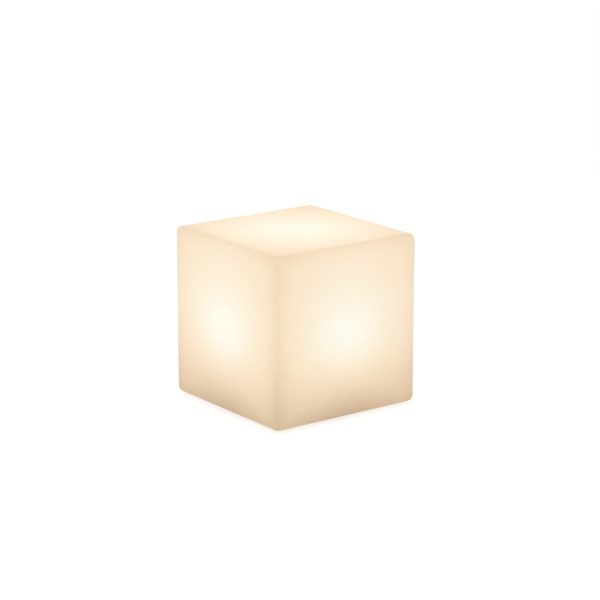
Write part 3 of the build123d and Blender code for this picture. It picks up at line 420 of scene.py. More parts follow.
def lamp_glow(name):
    """Level of the light that comes through a wall, from the lamp at the cube's centre.

    With x, y, z from the centre in half sides, and r the distance with z moved and stretched by the
    lamp's own height: level = fill + direct / r^fall_off + hot spot where r is near 1 - shade beside
    the edges (where the second longest of |x|, |y|, |z| nears 1) - shade that gathers towards the
    base and is deepest in its middle, where the housing stands in the light.
    """
    rows = [(label, FLOAT, 0.1) for label in GLOW_INPUTS]
    rows += [("half_side", FLOAT, HALF_SIDE), ("centre_height", FLOAT, LIGHT_Z), ("bevel", FLOAT, 0.08)]
    wires, given, leave = new_group(name, rows, [("Level", FLOAT)])
    x, y, z = wires.parts(wires.place())
    near = [wires.sum("DIVIDE", value, given["half_side"]) for value in (x, y)]
    height = wires.sum("DIVIDE", wires.sum("SUBTRACT", z, given["centre_height"]), given["half_side"])
    spread = wires.sum("DIVIDE", wires.sum("ADD", height, given["lamp_drop"]), given["lamp_height"])
    squares = [wires.sum("MULTIPLY", value, value) for value in (*near, spread)]
    radius = wires.sum("SQRT", wires.sum("ADD", wires.sum("ADD", squares[0], squares[1]), squares[2]))
    direct = wires.sum("DIVIDE", given["direct"], wires.sum("POWER", radius, given["fall_off"]))
    level = wires.sum("ADD", given["fill"], direct)

    def bell(value, reach):
        """1 at 0, falling to nothing over the reach, as e^-(value / reach)^2."""
        part = wires.sum("DIVIDE", value, reach)
        return wires.sum("EXPONENT", wires.sum("MULTIPLY", wires.sum("MULTIPLY", part, part), -1.0))

    hot = bell(wires.sum("SUBTRACT", radius, 1.0), given["hot_reach"])
    level = wires.sum("MULTIPLY_ADD", hot, given["hot_spot"], level)

    across, along, up = (wires.sum("ABSOLUTE", value) for value in (*near, height))
    inner = wires.sum("MINIMUM", across, along)
    longest = wires.sum("MAXIMUM", wires.sum("MAXIMUM", across, along), up)
    shortest = wires.sum("MINIMUM", inner, up)
    total = wires.sum("ADD", wires.sum("ADD", across, along), up)
    second = wires.sum("SUBTRACT", wires.sum("SUBTRACT", total, longest), shortest)
    corner_line = wires.sum("MULTIPLY_ADD", given["bevel"], math.sqrt(0.5) - 1.0, 1.0)
    start = wires.sum("SUBTRACT", corner_line, given["edge_reach"])
    edge = wires.sum("DIVIDE", wires.sum("SUBTRACT", second, start), given["edge_reach"], clamp=True)
    shade = wires.sum("MULTIPLY", wires.sum("MULTIPLY", edge, edge), given["edge_shade"])

    low = wires.sum("DIVIDE", wires.sum("SUBTRACT", LOW_START, height), 1.0 + LOW_START, clamp=True)
    low = wires.sum("POWER", low, given["low_power"])
    middle = bell(inner, given["housing_reach"])
    deep = wires.sum("MULTIPLY_ADD", middle, given["housing_shade"], given["low_shade"])
    shade = wires.sum("MULTIPLY_ADD", low, deep, shade)
    under = wires.step(wires.sum("MULTIPLY", height, -1.0), *UNDER_BAND)
    shade = wires.sum("MULTIPLY_ADD", under, given["under_shade"], shade)
    shade = wires.sum("MULTIPLY_ADD", wires.step(height, *TOP_BAND), given["top_shade"], shade)
    wires.feed(leave.inputs["Level"], wires.sum("SUBTRACT", level, shade))
    return wires


# ================================================================ finishes
def new_material(name, **shader_values):
    """Material with a Principled shader whose own sockets hold the given numbers and colours."""
    material = bpy.data.materials.new(name)
    material.use_nodes = True
    shader = material.node_tree.nodes["Principled BSDF"]
    for label, value in shader_values.items():
        shader.inputs[label.replace("_", " ")].default_value = value
    return material, Wiring(material.node_tree), shader


def grained(
    name, tone, grain, roughness, bump, tone_change=0.08, gloss_change=0.12, stretch=(1, 1, 1),
    soft_edge=0.0, **more,
):
    """Material of one colour with the fine grain: tone, grain size, roughness and depth of the bump.
    Where soft_edge is more than 0, sharp edges catch the light as if rounded by that radius."""
    material, wires, shader = new_material(name, **more)
    effect = wires.group(fine_grain, {
        "Color": (*tone, 1.0), "Tone Change": tone_change, "Grain Size": grain, "Roughness": roughness,
        "Roughness Change": gloss_change, "Stretch": stretch,
    })
    wires.feed(shader.inputs["Base Color"], effect["Color"])
    wires.feed(shader.inputs["Roughness"], effect["Roughness"])
    rounded = None
    if soft_edge:
        rounded = wires.node("ShaderNodeBevel", {"Radius": soft_edge}, samples=4).outputs[0]
    raised(wires, shader, effect["Height"], bump, rounded)
    material.diffuse_color = (*tone, 1.0)
    return material, wires, shader, effect


def raised(wires, shader, height, depth, before=None):
    """Bump of a depth in metres, on the shader's normal."""
    bump = wires.node("ShaderNodeBump", {"Height": height, "Distance": depth, "Strength": 1.0})
    if before is not None:
        wires.feed(bump.inputs["Normal"], before)
    wires.feed(shader.inputs["Normal"], bump.outputs["Normal"])


def worn(wires, shader, effect, width, amount, lighten):
    """Lays hairlines over a grained finish: they dull its gloss and change its tone a little."""
    mask = wires.group(hairlines, {"Width": width, "Amount": amount})["Mask"]
    wires.feed(shader.inputs["Roughness"], wires.sum("ADD", effect["Roughness"], mask, clamp=True))
    tone = wires.sum("MULTIPLY_ADD", mask, lighten, 1.0)
    wires.feed(shader.inputs["Base Color"], wires.scaled(effect["Color"], tone))


def painted(wires, shader, low, high, paint):
    """Paint, worn in small spots, on faces that look down and lie between two heights."""
    bare = shader.inputs["Base Color"].links[0].from_socket
    _, _, height = wires.parts(wires.place())
    _, _, facing = wires.parts(wires.node("ShaderNodeNewGeometry").outputs["True Normal"])
    above = wires.sum("GREATER_THAN", height, low)
    under = wires.sum("LESS_THAN", height, high)
    mask = wires.sum("MULTIPLY", wires.sum("MULTIPLY", above, under), wires.sum("LESS_THAN", facing, -0.7))
    kept = wires.step(wires.noise(wires.place(), 2200.0, 3.0), 0.30, 0.38)
    wires.feed(shader.inputs["Base Color"], wires.mix(wires.sum("MULTIPLY", mask, kept), bare, paint))


def dress(slot_name, material):
    """Gives a finish to every solid whose record names that material slot."""
    found = [frame["nodes"][node] for node, slot in SLOT_OF.items() if slot == slot_name]
    if not found:
        raise RuntimeError(f"no solid has the material slot {slot_name}")
    for node in found:
        node.data.materials.clear()
        node.data.materials.append(material)


def glow_level(wires, settings):
    """Lamp glow group with the user's settings: its Level socket."""
    return wires.group(lamp_glow, {label: getattr(settings, label) for label in GLOW_INPUTS})["Level"]


# Level of the glow at which the skin has each colour of its settings
GLOW_STOPS = {"dark": 0.305, "dim": 0.402, "soft": 0.503, "warm": 0.597, "light": 0.694, "bright": 0.85}


def glowing_skin():
    """Milky polyethylene lit from inside: the level of the glow picks its colour, warmer as it dims."""
    settings = bpy.context.scene.cube_glow
    material, wires, shader, _ = grained(
        "glowing polyethylene", settings.body, 0.9 * MM, 0.5, 0.012 * MM, 0.04, 0.1, Specular_IOR_Level=0.25,
        Emission_Strength=1.0,
    )
    level = glow_level(wires, settings)
    stops = [(0.0, (0.0, 0.0, 0.0))]
    stops += [(at, getattr(settings, shade)) for shade, at in GLOW_STOPS.items()]
    lit = wires.ramp(level, stops)
    own = wires.vector("SUBTRACT", lit, tuple(settings.mirrored))
    own = wires.vector("MAXIMUM", own, (0.0, 0.0, 0.0))
    wires.feed(shader.inputs["Emission Color"], own)
    return material


# ================================================================ shapes worked out with numpy
def square_ring(core, side_steps, bend_steps):
    """Ring of places round a square with rounded corners: points of its core, and outward directions.

    Along side k the direction stays at k quarter turns while the core point slides from one corner of
    the core to the next. Round a corner the core point stays and the direction turns a quarter.
    """
    turn = np.arange(4)[:, None] * QUARTER
    slide = np.arange(side_steps) / side_steps
    swing = np.arange(bend_steps) / bend_steps

    def corner(quarter):
        return core * math.sqrt(2) * np.stack([np.cos(quarter), np.sin(quarter)], axis=-1)

    start, end = corner(turn - QUARTER / 2), corner(turn + QUARTER / 2)
    along = start + (end - start) * slide[None, :, None]
    stay = end + 0 * swing[None, :, None]
    core_points = np.concatenate([along, stay], axis=1).reshape(-1, 2)
    facing = np.concatenate([turn + 0 * slide, turn + QUARTER * swing], axis=1).reshape(-1)
    return core_points, np.stack([np.cos(facing), np.sin(facing)], axis=-1)


def straight(start, end, steps):
    """Profile rows from one row to another in equal steps, without the last."""
    part = (np.arange(steps) / steps)[:, None]
    return np.array(start) + (np.array(end) - np.array(start)) * part


def bent(centre_z, radius, start, end, steps):
    """Profile rows round an edge: reach = radius cos(angle), height = centre + radius sin(angle)."""
    turn = start + (end - start) * np.arange(steps) / steps
    one = np.ones_like(turn)
    return np.stack([0 * one, one, radius * np.cos(turn), centre_z + radius * np.sin(turn)], axis=-1)


def skin_profile(settings):
    """Rows (circle radius, share of the square core, reach, height) from the outer top to the inner top.
    The last value of each stretch is its number of rows."""
    half, radius, wall = settings.half_side, settings.edge_radius, settings.wall
    core, inner = half - radius, radius - wall
    top, base = settings.centre_height + half, settings.centre_height - half
    high, low = settings.centre_height + core, settings.centre_height - core
    pocket, opening, roof = settings.pocket_radius, settings.opening_radius, settings.pocket_roof
    rim, flat, bend = settings.rim_break, settings.side_steps // 2, settings.bend_steps
    step_top, step_radius, floor = roof + wall, pocket + wall, base + wall
    return np.concatenate([
        straight((0, 1 / flat, 0, top), (0, 1, 0, top), flat),
        bent(high, radius, QUARTER, 0, bend),
        straight((0, 1, radius, high), (0, 1, radius, low), settings.side_steps),
        bent(low, radius, 0, -QUARTER, bend),
        straight((0, 1, 0, base), (pocket + rim, 0, 0, base), 6),
        straight((pocket + rim, 0, 0, base), (pocket, 0, 0, base + rim), 1),
        straight((pocket, 0, 0, base + rim), (pocket, 0, 0, roof), 2),
        straight((pocket, 0, 0, roof), (opening, 0, 0, roof), 3),
        straight((opening, 0, 0, roof), (opening, 0, 0, step_top - rim), 1),
        straight((opening, 0, 0, step_top - rim), (opening + rim, 0, 0, step_top), 1),
        straight((opening + rim, 0, 0, step_top), (step_radius - rim, 0, 0, step_top), 3),
        straight((step_radius - rim, 0, 0, step_top), (step_radius, 0, 0, step_top - rim), 1),
        straight((step_radius, 0, 0, step_top - rim), (step_radius, 0, 0, floor), 1),
        straight((step_radius, 0, 0, floor), (0, 1, 0, floor), 5),
        bent(low, inner, -QUARTER, 0, bend // 2),
        straight((0, 1, inner, low), (0, 1, inner, high), settings.side_steps // 2),
        bent(high, inner, 0, QUARTER, bend // 2),
        straight((0, 1, 0, top - wall), (0, 0, 0, top - wall), flat // 2),
    ])


def skin_points(settings):
    """Skin: circle radius x unit direction + share x core point + reach x outward direction, at a height."""
    core = settings.half_side - settings.edge_radius
    core_points, outward = square_ring(core, settings.side_steps, settings.bend_steps)
    outline = core_points + settings.edge_radius * outward
    unit = outline / np.linalg.norm(outline, axis=-1, keepdims=True)
    profile = skin_profile(settings)[:, None, :]
    flat = profile[..., 0:1] * unit + profile[..., 1:2] * core_points + profile[..., 2:3] * outward
    height = np.broadcast_to(profile[..., 3:4], (*flat.shape[:2], 1))
    return np.concatenate([flat, height], axis=-1)


def turned_rows(profile, centre, steps):
    """Rings of a profile (radius, height) turned about an upright axis at a centre (x, y)."""
    turn = np.arange(steps) / steps * 2 * np.pi
    flat = np.array(centre) + profile[:, None, 0:1] * np.stack([np.cos(turn), np.sin(turn)], axis=-1)
    height = np.broadcast_to(profile[:, None, 1:2], (*flat.shape[:2], 1))
    return np.concatenate([flat, height], axis=-1)


def boss_grids(settings):
    """Blind bosses round the opening: each a profile (radius, height) turned about its own axis, whose
    place is boss circle x unit direction. Each is given with its poles, the middles of both ends."""
    radius, bore = settings.boss_radius, settings.bore_radius
    top, roof = settings.boss_top, settings.bore_top
    foot, edge = settings.pocket_roof + settings.wall - settings.rim_break, settings.rim_break
    profile = np.array([
        (radius - edge, top), (radius, top - edge), (radius, foot), (bore, foot), (bore, roof)
    ])
    where = np.arange(settings.boss_count) / settings.boss_count * 2 * np.pi
    centres = settings.boss_circle * np.stack([np.cos(where), np.sin(where)], axis=-1)
    return [
        (turned_rows(profile, centre, settings.boss_steps), (*centre, top), (*centre, roof))
        for centre in centres
    ]


def foot_profile(settings):
    """Rows (radius, height) of a foot, from the end of its barb down to the inner groove of its tread.

    A groove is a cut of one depth between two radii, whose sides lean a little. The pad's lower edge
    is a quarter circle: radius = pad - edge + edge x cos(angle), height = edge - edge x sin(angle).
    """
    pad, edge, depth = settings.pad_radius, settings.edge, settings.groove_depth
    half, lean = settings.groove_width / 2, settings.groove_lean
    turn = np.linspace(0, QUARTER, settings.bend_steps + 1)
    bend = np.stack([pad - edge + edge * np.cos(turn), edge - edge * np.sin(turn)], axis=-1)

    def groove(middle):
        outer, inner = middle + half, middle - half
        return [(outer, 0), (outer - lean, depth), (inner + lean, depth), (inner, 0)]

    above = [
        (settings.tip_radius, settings.barb_top),
        (settings.barb_radius, settings.barb_foot),
        (settings.stem_radius, settings.barb_foot),
        (settings.stem_radius, settings.pad_top),
        (pad, settings.pad_top),
    ]
    return np.concatenate([above, bend, groove(settings.outer_groove), groove(settings.inner_groove)])


def closed_faces(rows, first_pole, last_pole, start):
    """Points and faces of a grid whose rows are rings, closed by a pole at each end. Rows run so that
    the next row's side of a ring, crossed with its own direction, points outwards."""
    lines, columns = rows.shape[:2]
    points = np.concatenate([[first_pole], rows.reshape(-1, 3), [last_pole]])
    here = start + 1 + np.arange(lines)[:, None] * columns + np.arange(columns)
    beside = np.roll(here, -1, axis=1)
    quads = np.stack([here[:-1], here[1:], beside[1:], beside[:-1]], axis=-1).reshape(-1, 4)
    first = np.stack([np.full(columns, start), here[0], beside[0]], axis=-1)
    last = np.stack([here[-1], np.full(columns, start + len(points) - 1), beside[-1]], axis=-1)
    return points, first.tolist() + quads.tolist() + last.tolist()


def closed_mesh(name, grids):
    """Mesh of several closed grids, each given as its rows and its two poles. Points of a ring that meet
    in a corner of a flat face become one, so that no face there is left empty."""
    points, faces = np.empty((0, 3)), []
    for rows, first_pole, last_pole in grids:
        more, its_faces = closed_faces(rows, first_pole, last_pole, len(points))
        points, faces = np.concatenate([points, more]), faces + its_faces
    mesh = bpy.data.meshes.new(name)
    mesh.from_pydata(points.tolist(), [], faces)
    solid = bmesh.new()
    solid.from_mesh(mesh)
    bmesh.ops.remove_doubles(solid, verts=solid.verts, dist=SAME_PLACE)
    solid.to_mesh(mesh)
    solid.free()
    mesh.shade_smooth()
    mesh.set_sharp_from_angle(angle=math.radians(SHARP_DEGREES))
    mesh.validate()
    return mesh


def new_piece(name, mesh, material, body, slot_name, *replaced):
    """Object at the origin that rides on a body, with its finish and the solids that it stands for."""
    mesh.materials.append(material)
    piece = bpy.data.objects.new(name, mesh)
    bpy.context.scene.collection.objects.link(piece)
    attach(piece, body)
    if replaced:
        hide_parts(*replaced)


# ================================================================ operators
class CUBELIGHT_OT_skin(bpy.types.Operator):
    """Lay the smooth moulded skin over the cube and light it from inside"""

    bl_idname = "cubelight.skin"
    bl_label = "Cube skin"

    def execute(self, context):
        settings = context.scene.cube_skin
        rows = skin_points(settings)
        top = (0, 0, settings.centre_height + settings.half_side)
        inner_top = (0, 0, top[2] - settings.wall)
        material = glowing_skin()
        mesh = closed_mesh("cube_skin", [(rows, top, inner_top)])
        new_piece("cube_skin", mesh, material, "shell", "glowing_polyethylene", "cube_shell")
        bosses = closed_mesh("insert_bosses", boss_grids(settings))
        new_piece("insert_bosses", bosses, material, "shell", "glowing_polyethylene")
        return {"FINISHED"}


class CUBELIGHT_OT_feet(bpy.types.Operator):
    """Turn the four rubber feet, with grooves in their treads"""

    bl_idname = "cubelight.feet"
    bl_label = "Feet"

    def execute(self, context):
        settings = context.scene.cube_feet
        profile = foot_profile(settings)
        for node in FEET:
            name = f"grooved_{node}"
            low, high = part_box(node)
            centre = ((low.x + high.x) / 2, (low.y + high.y) / 2)
            rows = turned_rows(profile, centre, settings.round_steps)
            mesh = closed_mesh(name, [(rows, (*centre, settings.barb_top), (*centre, 0.0))])
            rubber = frame["nodes"][node].data.materials[0]
            new_piece(name, mesh, rubber, "shell", SLOT_OF[node], node)
        return {"FINISHED"}


class CUBELIGHT_OT_stage(bpy.types.Operator):
    """Set the floor, the white room, the lamp and the camera"""

    bl_idname = "cubelight.stage"
    bl_label = "Stage"

    def execute(self, context):
        settings = context.scene.cube_stage
        lay_floor(settings)
        light_room(settings)
        hang_key_lamp(settings)
        place_camera(settings)
        context.scene.view_settings.view_transform = "Standard"
        return {"FINISHED"}


def direction(azimuth, elevation):
    """Unit vector from the cube to a point at that azimuth and elevation."""
    return Vector((
        math.sin(azimuth) * math.cos(elevation), -math.cos(azimuth) * math.cos(elevation), math.sin(elevation)
    ))


def lay_floor(settings):
    """Round white floor. The camera sees it with the cube's shadow, from below it is clear, and the
    object is lit by it as by a light table."""
    turn = np.linspace(0, 2 * np.pi, FLOOR_SIDES, endpoint=False)
    ring = np.stack([np.cos(turn), np.sin(turn), 0 * turn], axis=-1) * settings.floor_radius
    ring[:, 2] = -settings.floor_gap
    mesh = bpy.data.meshes.new("floor")
    mesh.from_pydata(ring.tolist(), [], [list(range(len(turn)))])
    floor = bpy.data.objects.new("floor", mesh)
    bpy.context.scene.collection.objects.link(floor)
    material = bpy.data.materials.new("white floor")
    material.use_nodes = True
    tree = material.node_tree
    wires = Wiring(tree)
    tree.nodes.remove(tree.nodes["Principled BSDF"])
    tone = (settings.floor_tone,) * 3 + (1.0,)
    diffuse = wires.node("ShaderNodeBsdfDiffuse", {"Color": tone}).outputs[0]
    lift = wires.node("ShaderNodeEmission", {"Strength": settings.floor_lift}).outputs[0]
    table = wires.node("ShaderNodeEmission", {"Strength": settings.table_light}).outputs[0]
    seen = wires.node("ShaderNodeAddShader", {0: diffuse, 1: lift}).outputs[0]
    clear = wires.node("ShaderNodeBsdfTransparent").outputs[0]
    camera_ray = wires.node("ShaderNodeLightPath").outputs["Is Camera Ray"]
    from_below = wires.node("ShaderNodeNewGeometry").outputs["Backfacing"]
    above = wires.node("ShaderNodeMixShader", {0: camera_ray, 1: table, 2: seen}).outputs[0]
    both = wires.node("ShaderNodeMixShader", {0: from_below, 1: above, 2: clear}).outputs[0]
    wires.feed(tree.nodes["Material Output"].inputs["Surface"], both)
    mesh.materials.append(material)


def light_room(settings):
    """White room: full white where the camera, a reflection or glass sees it, and its own level as light."""
    world = bpy.data.worlds.new("white room")
    world.use_nodes = True
    wires = Wiring(world.node_tree)
    rays = wires.node("ShaderNodeLightPath").outputs
    seen = wires.sum("MAXIMUM", rays["Is Camera Ray"], rays["Is Glossy Ray"])
    seen = wires.sum("MAXIMUM", seen, rays["Is Transmission Ray"])
    strength = wires.sum("MULTIPLY_ADD", seen, 1.0 - settings.room_light, settings.room_light)
    background = world.node_tree.nodes["Background"]
    background.inputs["Color"].default_value = (1.0, 1.0, 1.0, 1.0)
    wires.feed(background.inputs["Strength"], strength)
    bpy.context.scene.world = world


def hang_key_lamp(settings):
    """Large square lamp above the left side of the camera."""
    lamp = bpy.data.lights.new("key lamp", "AREA")
    lamp.energy = settings.key_power
    lamp.size = settings.key_size
    hung = bpy.data.objects.new("key lamp", lamp)
    bpy.context.scene.collection.objects.link(hung)
    back = direction(settings.key_azimuth, settings.key_elevation)
    hung.location = Vector((0, 0, LIGHT_Z)) + back * settings.key_distance
    hung.rotation_mode = "QUATERNION"
    hung.rotation_quaternion = (-back).to_track_quat("-Z", "Y")


def place_camera(settings):
    """Camera at the photograph's angle, turned a little off the cube's centre to frame it as there."""
    camera = bpy.data.cameras.new("camera")
    camera.sensor_width = 36.0
    camera.lens = settings.lens
    camera.clip_start, camera.clip_end = 0.1, 50.0
    seat = bpy.data.objects.new("camera", camera)
    bpy.context.scene.collection.objects.link(seat)
    back = direction(settings.azimuth, settings.elevation)
    right = Vector((math.cos(settings.azimuth), math.sin(settings.azimuth), 0.0))
    up = back.cross(right)
    look = -back + right * math.tan(settings.aim_right) + up * math.tan(settings.aim_up)
    away = -look.normalized()
    level = up.cross(away).normalized()
    turned = Matrix((level, away.cross(level), away)).transposed().to_4x4()
    seat.matrix_world = Matrix.Translation(Vector((0, 0, LIGHT_Z)) + back * settings.distance) @ turned
    bpy.context.scene.camera = seat


# ================================================================ the other finishes
# slot: colour, grain size in mm, roughness, bump depth in mm, change of tone, change of gloss, and
# further values of the shader
PLASTICS = {
    "white_plastic": ((0.76, 0.75, 0.71), 0.55, 0.46, 0.030, 0.05, 0.16, {}),
    "housing_plastic": ((0.60, 0.60, 0.57), 0.70, 0.52, 0.035, 0.06, 0.16, {}),
    "black_plastic": ((0.020, 0.020, 0.021), 0.35, 0.42, 0.015, 0.25, 0.20, {}),
    "grey_plastic": ((0.105, 0.112, 0.118), 0.50, 0.50, 0.030, 0.12, 0.16, {}),
    "connector_nylon": ((0.61, 0.55, 0.40), 0.30, 0.36, 0.008, 0.07, 0.14, {}),
    "chip_epoxy": ((0.016, 0.016, 0.017), 0.12, 0.55, 0.010, 0.35, 0.16, {}),
    "ferrite": ((0.042, 0.042, 0.046), 0.20, 0.62, 0.025, 0.40, 0.14, {}),
}
RUBBERS = {
    "button_silicone": ((0.30, 0.315, 0.325), 0.25, 0.58, 0.010, 0.08, 0.12, {"Sheen_Weight": 0.15}),
    "seal_silicone": ((0.26, 0.030, 0.016), 0.40, 0.40, 0.012, 0.12, 0.14, {}),
    "cover_rubber": ((0.024, 0.024, 0.026), 0.30, 0.60, 0.014, 0.25, 0.14, {"Sheen_Weight": 0.12}),
    "foot_rubber": ((0.050, 0.050, 0.053), 0.45, 0.66, 0.030, 0.30, 0.12, {"Sheen_Weight": 0.20}),
    "lead_red": ((0.40, 0.006, 0.006), 0.50, 0.34, 0.006, 0.12, 0.14, {}),
    "lead_black": ((0.011, 0.011, 0.012), 0.50, 0.34, 0.006, 0.25, 0.14, {}),
}
# slot: colour, grain size in mm, roughness, bump depth in mm, and stretch of the grain along x, y and z
METALS = {
    "screw_steel": ((0.44, 0.44, 0.45), 0.30, 0.26, 0.006, (1, 1, 1)),
    "brass": ((0.70, 0.47, 0.18), 0.35, 0.30, 0.020, (1, 1, 4)),
    "socket_metal": ((0.58, 0.57, 0.55), 0.40, 0.24, 0.004, (1, 1, 0.15)),
    "nickel": ((0.62, 0.59, 0.53), 0.40, 0.30, 0.008, (1, 0.1, 1)),
    "post_aluminium": ((0.68, 0.69, 0.70), 0.40, 0.36, 0.012, (1, 1, 0.03)),
    "capacitor_can": ((0.66, 0.66, 0.67), 0.30, 0.26, 0.004, (1, 1, 0.2)),
}

MARK_DEPTH = 0.5 * MM        # of the arrows, dot and circle in the ring and the tray
mark_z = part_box("mounting_ring")[0].z + MARK_DEPTH
symbol_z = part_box("power_button")[0].z
# slot: lowest and highest place of its painted faces, and the paint
PAINT = {
    "white_plastic": (mark_z - 0.15 * MM, mark_z + 0.15 * MM, (0.16, 0.16, 0.17)),
    "button_silicone": (symbol_z - 0.1 * MM, symbol_z + 0.1 * MM, (0.74, 0.75, 0.75)),
}
FOLD_BAND = (27 * MM, 32 * MM)      # from a cell's middle, where the folds of its sleeve come in


class CUBELIGHT_OT_plastics(bpy.types.Operator):
    """Finish the moulded plastics: ring, tray, housing, cradle and the small electrical bodies"""

    bl_idname = "cubelight.plastics"
    bl_label = "Plastics"

    def execute(self, context):
        for slot_name, (tone, grain, rough, bump, change, gloss, more) in PLASTICS.items():
            name = slot_name.replace("_", " ")
            material, wires, shader, effect = grained(
                name, tone, grain * MM, rough, bump * MM, change, gloss, soft_edge=0.25 * MM, **more
            )
            worn(wires, shader, effect, 0.25 * MM, 0.10, 0.25)
            if slot_name in PAINT:
                painted(wires, shader, *PAINT[slot_name])
            dress(slot_name, material)
        return {"FINISHED"}


class CUBELIGHT_OT_rubbers(bpy.types.Operator):
    """Finish the rubbers: button, seal, socket cover, feet, gaskets and the leads"""

    bl_idname = "cubelight.rubbers"
    bl_label = "Rubbers"

    def execute(self, context):
        for slot_name, (tone, grain, rough, bump, change, gloss, more) in RUBBERS.items():
            name = slot_name.replace("_", " ")
            material, wires, shader, _ = grained(
                name, tone, grain * MM, rough, bump * MM, change, gloss, soft_edge=0.2 * MM, **more
            )
            if slot_name in PAINT:
                painted(wires, shader, *PAINT[slot_name])
            dress(slot_name, material)
        dress("gasket_foam", foam())
        return {"FINISHED"}


def foam():
    """Black cell foam: pores of a Voronoi texture, with painted shade that darkens each pore towards its
    middle, where its bump is deepest.
    """
    material, wires, shader = new_material("gasket foam", Roughness=0.85, Specular_IOR_Level=0.2)
    pores = wires.cells(wires.place(), 2600.0)
    # painted shade: the colour darkens towards the middle of each pore, the low point of its bump
    wires.feed(shader.inputs["Base Color"], wires.ramp(pores, [(0.0, (0.008,) * 3), (0.6, (0.035,) * 3)]))
    raised(wires, shader, pores, 0.08 * MM)
    return material


class CUBELIGHT_OT_metals(bpy.types.Operator):
    """Finish the metals: screws, inserts, socket, strips, post and capacitor cans"""

    bl_idname = "cubelight.metals"
    bl_label = "Metals"

    def execute(self, context):
        for slot_name, (tone, grain, rough, bump, stretch) in METALS.items():
            name = slot_name.replace("_", " ")
            material, wires, shader, effect = grained(
                name, tone, grain * MM, rough, bump * MM, 0.12, 0.22, stretch, 0.12 * MM, Metallic=1.0
            )
            worn(wires, shader, effect, 0.15 * MM, 0.14, 0.12)
            dress(slot_name, material)
        return {"FINISHED"}


class CUBELIGHT_OT_boards(bpy.types.Operator):
    """Finish the control board and the five light boards with their tracks and pads"""

    bl_idname = "cubelight.boards"
    bl_label = "Circuit boards"

    def execute(self, context):
        green = ((0.006, 0.105, 0.032, 1.0), (0.020, 0.205, 0.070, 1.0), 2.0 * MM)
        white = ((0.75, 0.75, 0.71, 1.0), (0.72, 0.72, 0.68, 1.0), 6.0 * MM)
        for slot_name, (mask, track, pitch) in {"green_board": green, "white_board": white}.items():
            material, wires, shader = new_material(slot_name.replace("_", " "), Coat_Weight=0.4)
            values = {"Mask Color": mask, "Track Color": track, "Pitch": pitch}
            effect = wires.group(printed_tracks, values)
            wires.feed(shader.inputs["Base Color"], effect["Color"])
            wires.feed(shader.inputs["Metallic"], effect["Metal"])
            gloss = wires.noise(wires.place(), 900.0, 2.0)
            wires.feed(shader.inputs["Roughness"], wires.sum("MULTIPLY_ADD", gloss, 0.2, 0.25))
            raised(wires, shader, effect["Height"], 0.015 * MM)
            dress(slot_name, material)
        return {"FINISHED"}


class CUBELIGHT_OT_cells(bpy.types.Operator):
    """Finish the two cells in their shrunk sleeves"""

    bl_idname = "cubelight.cells"
    bl_label = "Cells"

    def execute(self, context):
        material, wires, shader, _ = grained(
            "shrunk sleeve", (0.012, 0.070, 0.145), 0.5 * MM, 0.26, 0.01 * MM, 0.10, 0.14, Coat_Weight=0.25
        )
        across, *_ = wires.parts(wires.place())
        end = wires.step(wires.sum("ABSOLUTE", across), *FOLD_BAND)
        stretched = wires.vector("MULTIPLY", wires.place(), (0.25, 1.0, 1.0))
        folds = wires.sum("MULTIPLY", wires.noise(stretched, 900.0, 2.0, 0.5, 0.6), end)
        raised(wires, shader, folds, 0.12 * MM)
        dress("cell_wrap", material)
        return {"FINISHED"}


class CUBELIGHT_OT_lamps(bpy.types.Operator):
    """Finish what carries light: the opal dome, the light packages, the light pipe and its lamp"""

    bl_idname = "cubelight.lamps"
    bl_label = "Lamps"

    def execute(self, context):
        dress("dome_opal", opal_dome(context.scene.cube_glow))
        dress("clear_acrylic", clear_rod())
        dress("led_phosphor", light_package(context.scene.cube_lamps))
        status, *_ = grained(
            "status light", (0.40, 0.56, 0.33), 0.15 * MM, 0.20, 0.005 * MM, 0.10, 0.12,
            Emission_Strength=1.0, Emission_Color=(0.05, 0.30, 0.06, 1.0),
        )
        dress("status_light", status)
        return {"FINISHED"}


def light_package(settings):
    """White package with a round window of yellow phosphor, which glows.

    The window is a disc round each package's middle. On the four sides the middles stand in two
    columns and in rows of one pitch, and on top there is one in the centre and four round it.
    """
    material, wires, shader, effect = grained(
        "light package", settings.package, 0.12 * MM, 0.42, 0.012 * MM, 0.10, 0.14, Emission_Strength=1.0
    )
    x, y, z = wires.parts(wires.place())
    across, along = wires.sum("ABSOLUTE", x), wires.sum("ABSOLUTE", y)
    row_pitch = settings.row_pitch
    row = wires.sum("SUBTRACT", z, LIGHT_Z + row_pitch / 2)
    row = wires.sum("WRAP", row, row_pitch / 2, -row_pitch / 2)

    def apart(first, second):
        """Length of the side opposite a right angle."""
        squares = wires.sum("MULTIPLY_ADD", second, second, wires.sum("MULTIPLY", first, first))
        return wires.sum("SQRT", squares)

    column = wires.sum("SUBTRACT", wires.sum("MINIMUM", across, along), settings.column_offset)
    corner_x, corner_y = (wires.sum("SUBTRACT", value, settings.top_offset) for value in (across, along))
    on_side = apart(column, row)
    on_top = wires.sum("MINIMUM", apart(x, y), apart(corner_x, corner_y))
    top = wires.sum("GREATER_THAN", z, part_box("leds_top")[0].z - 0.05 * MM)
    nearest = wires.node("ShaderNodeMix", {0: top, 2: on_side, 3: on_top}, data_type="FLOAT").outputs[0]
    window = wires.step(nearest, settings.window_radius, settings.window_radius - settings.window_edge)
    wires.feed(shader.inputs["Base Color"], wires.mix(window, effect["Color"], settings.phosphor))
    wires.feed(shader.inputs["Emission Color"], wires.mix(window, settings.spill, settings.light))
    grains = wires.noise(wires.place(), 9000.0, 2.0)
    height = wires.sum("MULTIPLY_ADD", window, -1.0, wires.sum("MULTIPLY", grains, 0.1))
    raised(wires, shader, height, 0.1 * MM)
    return material


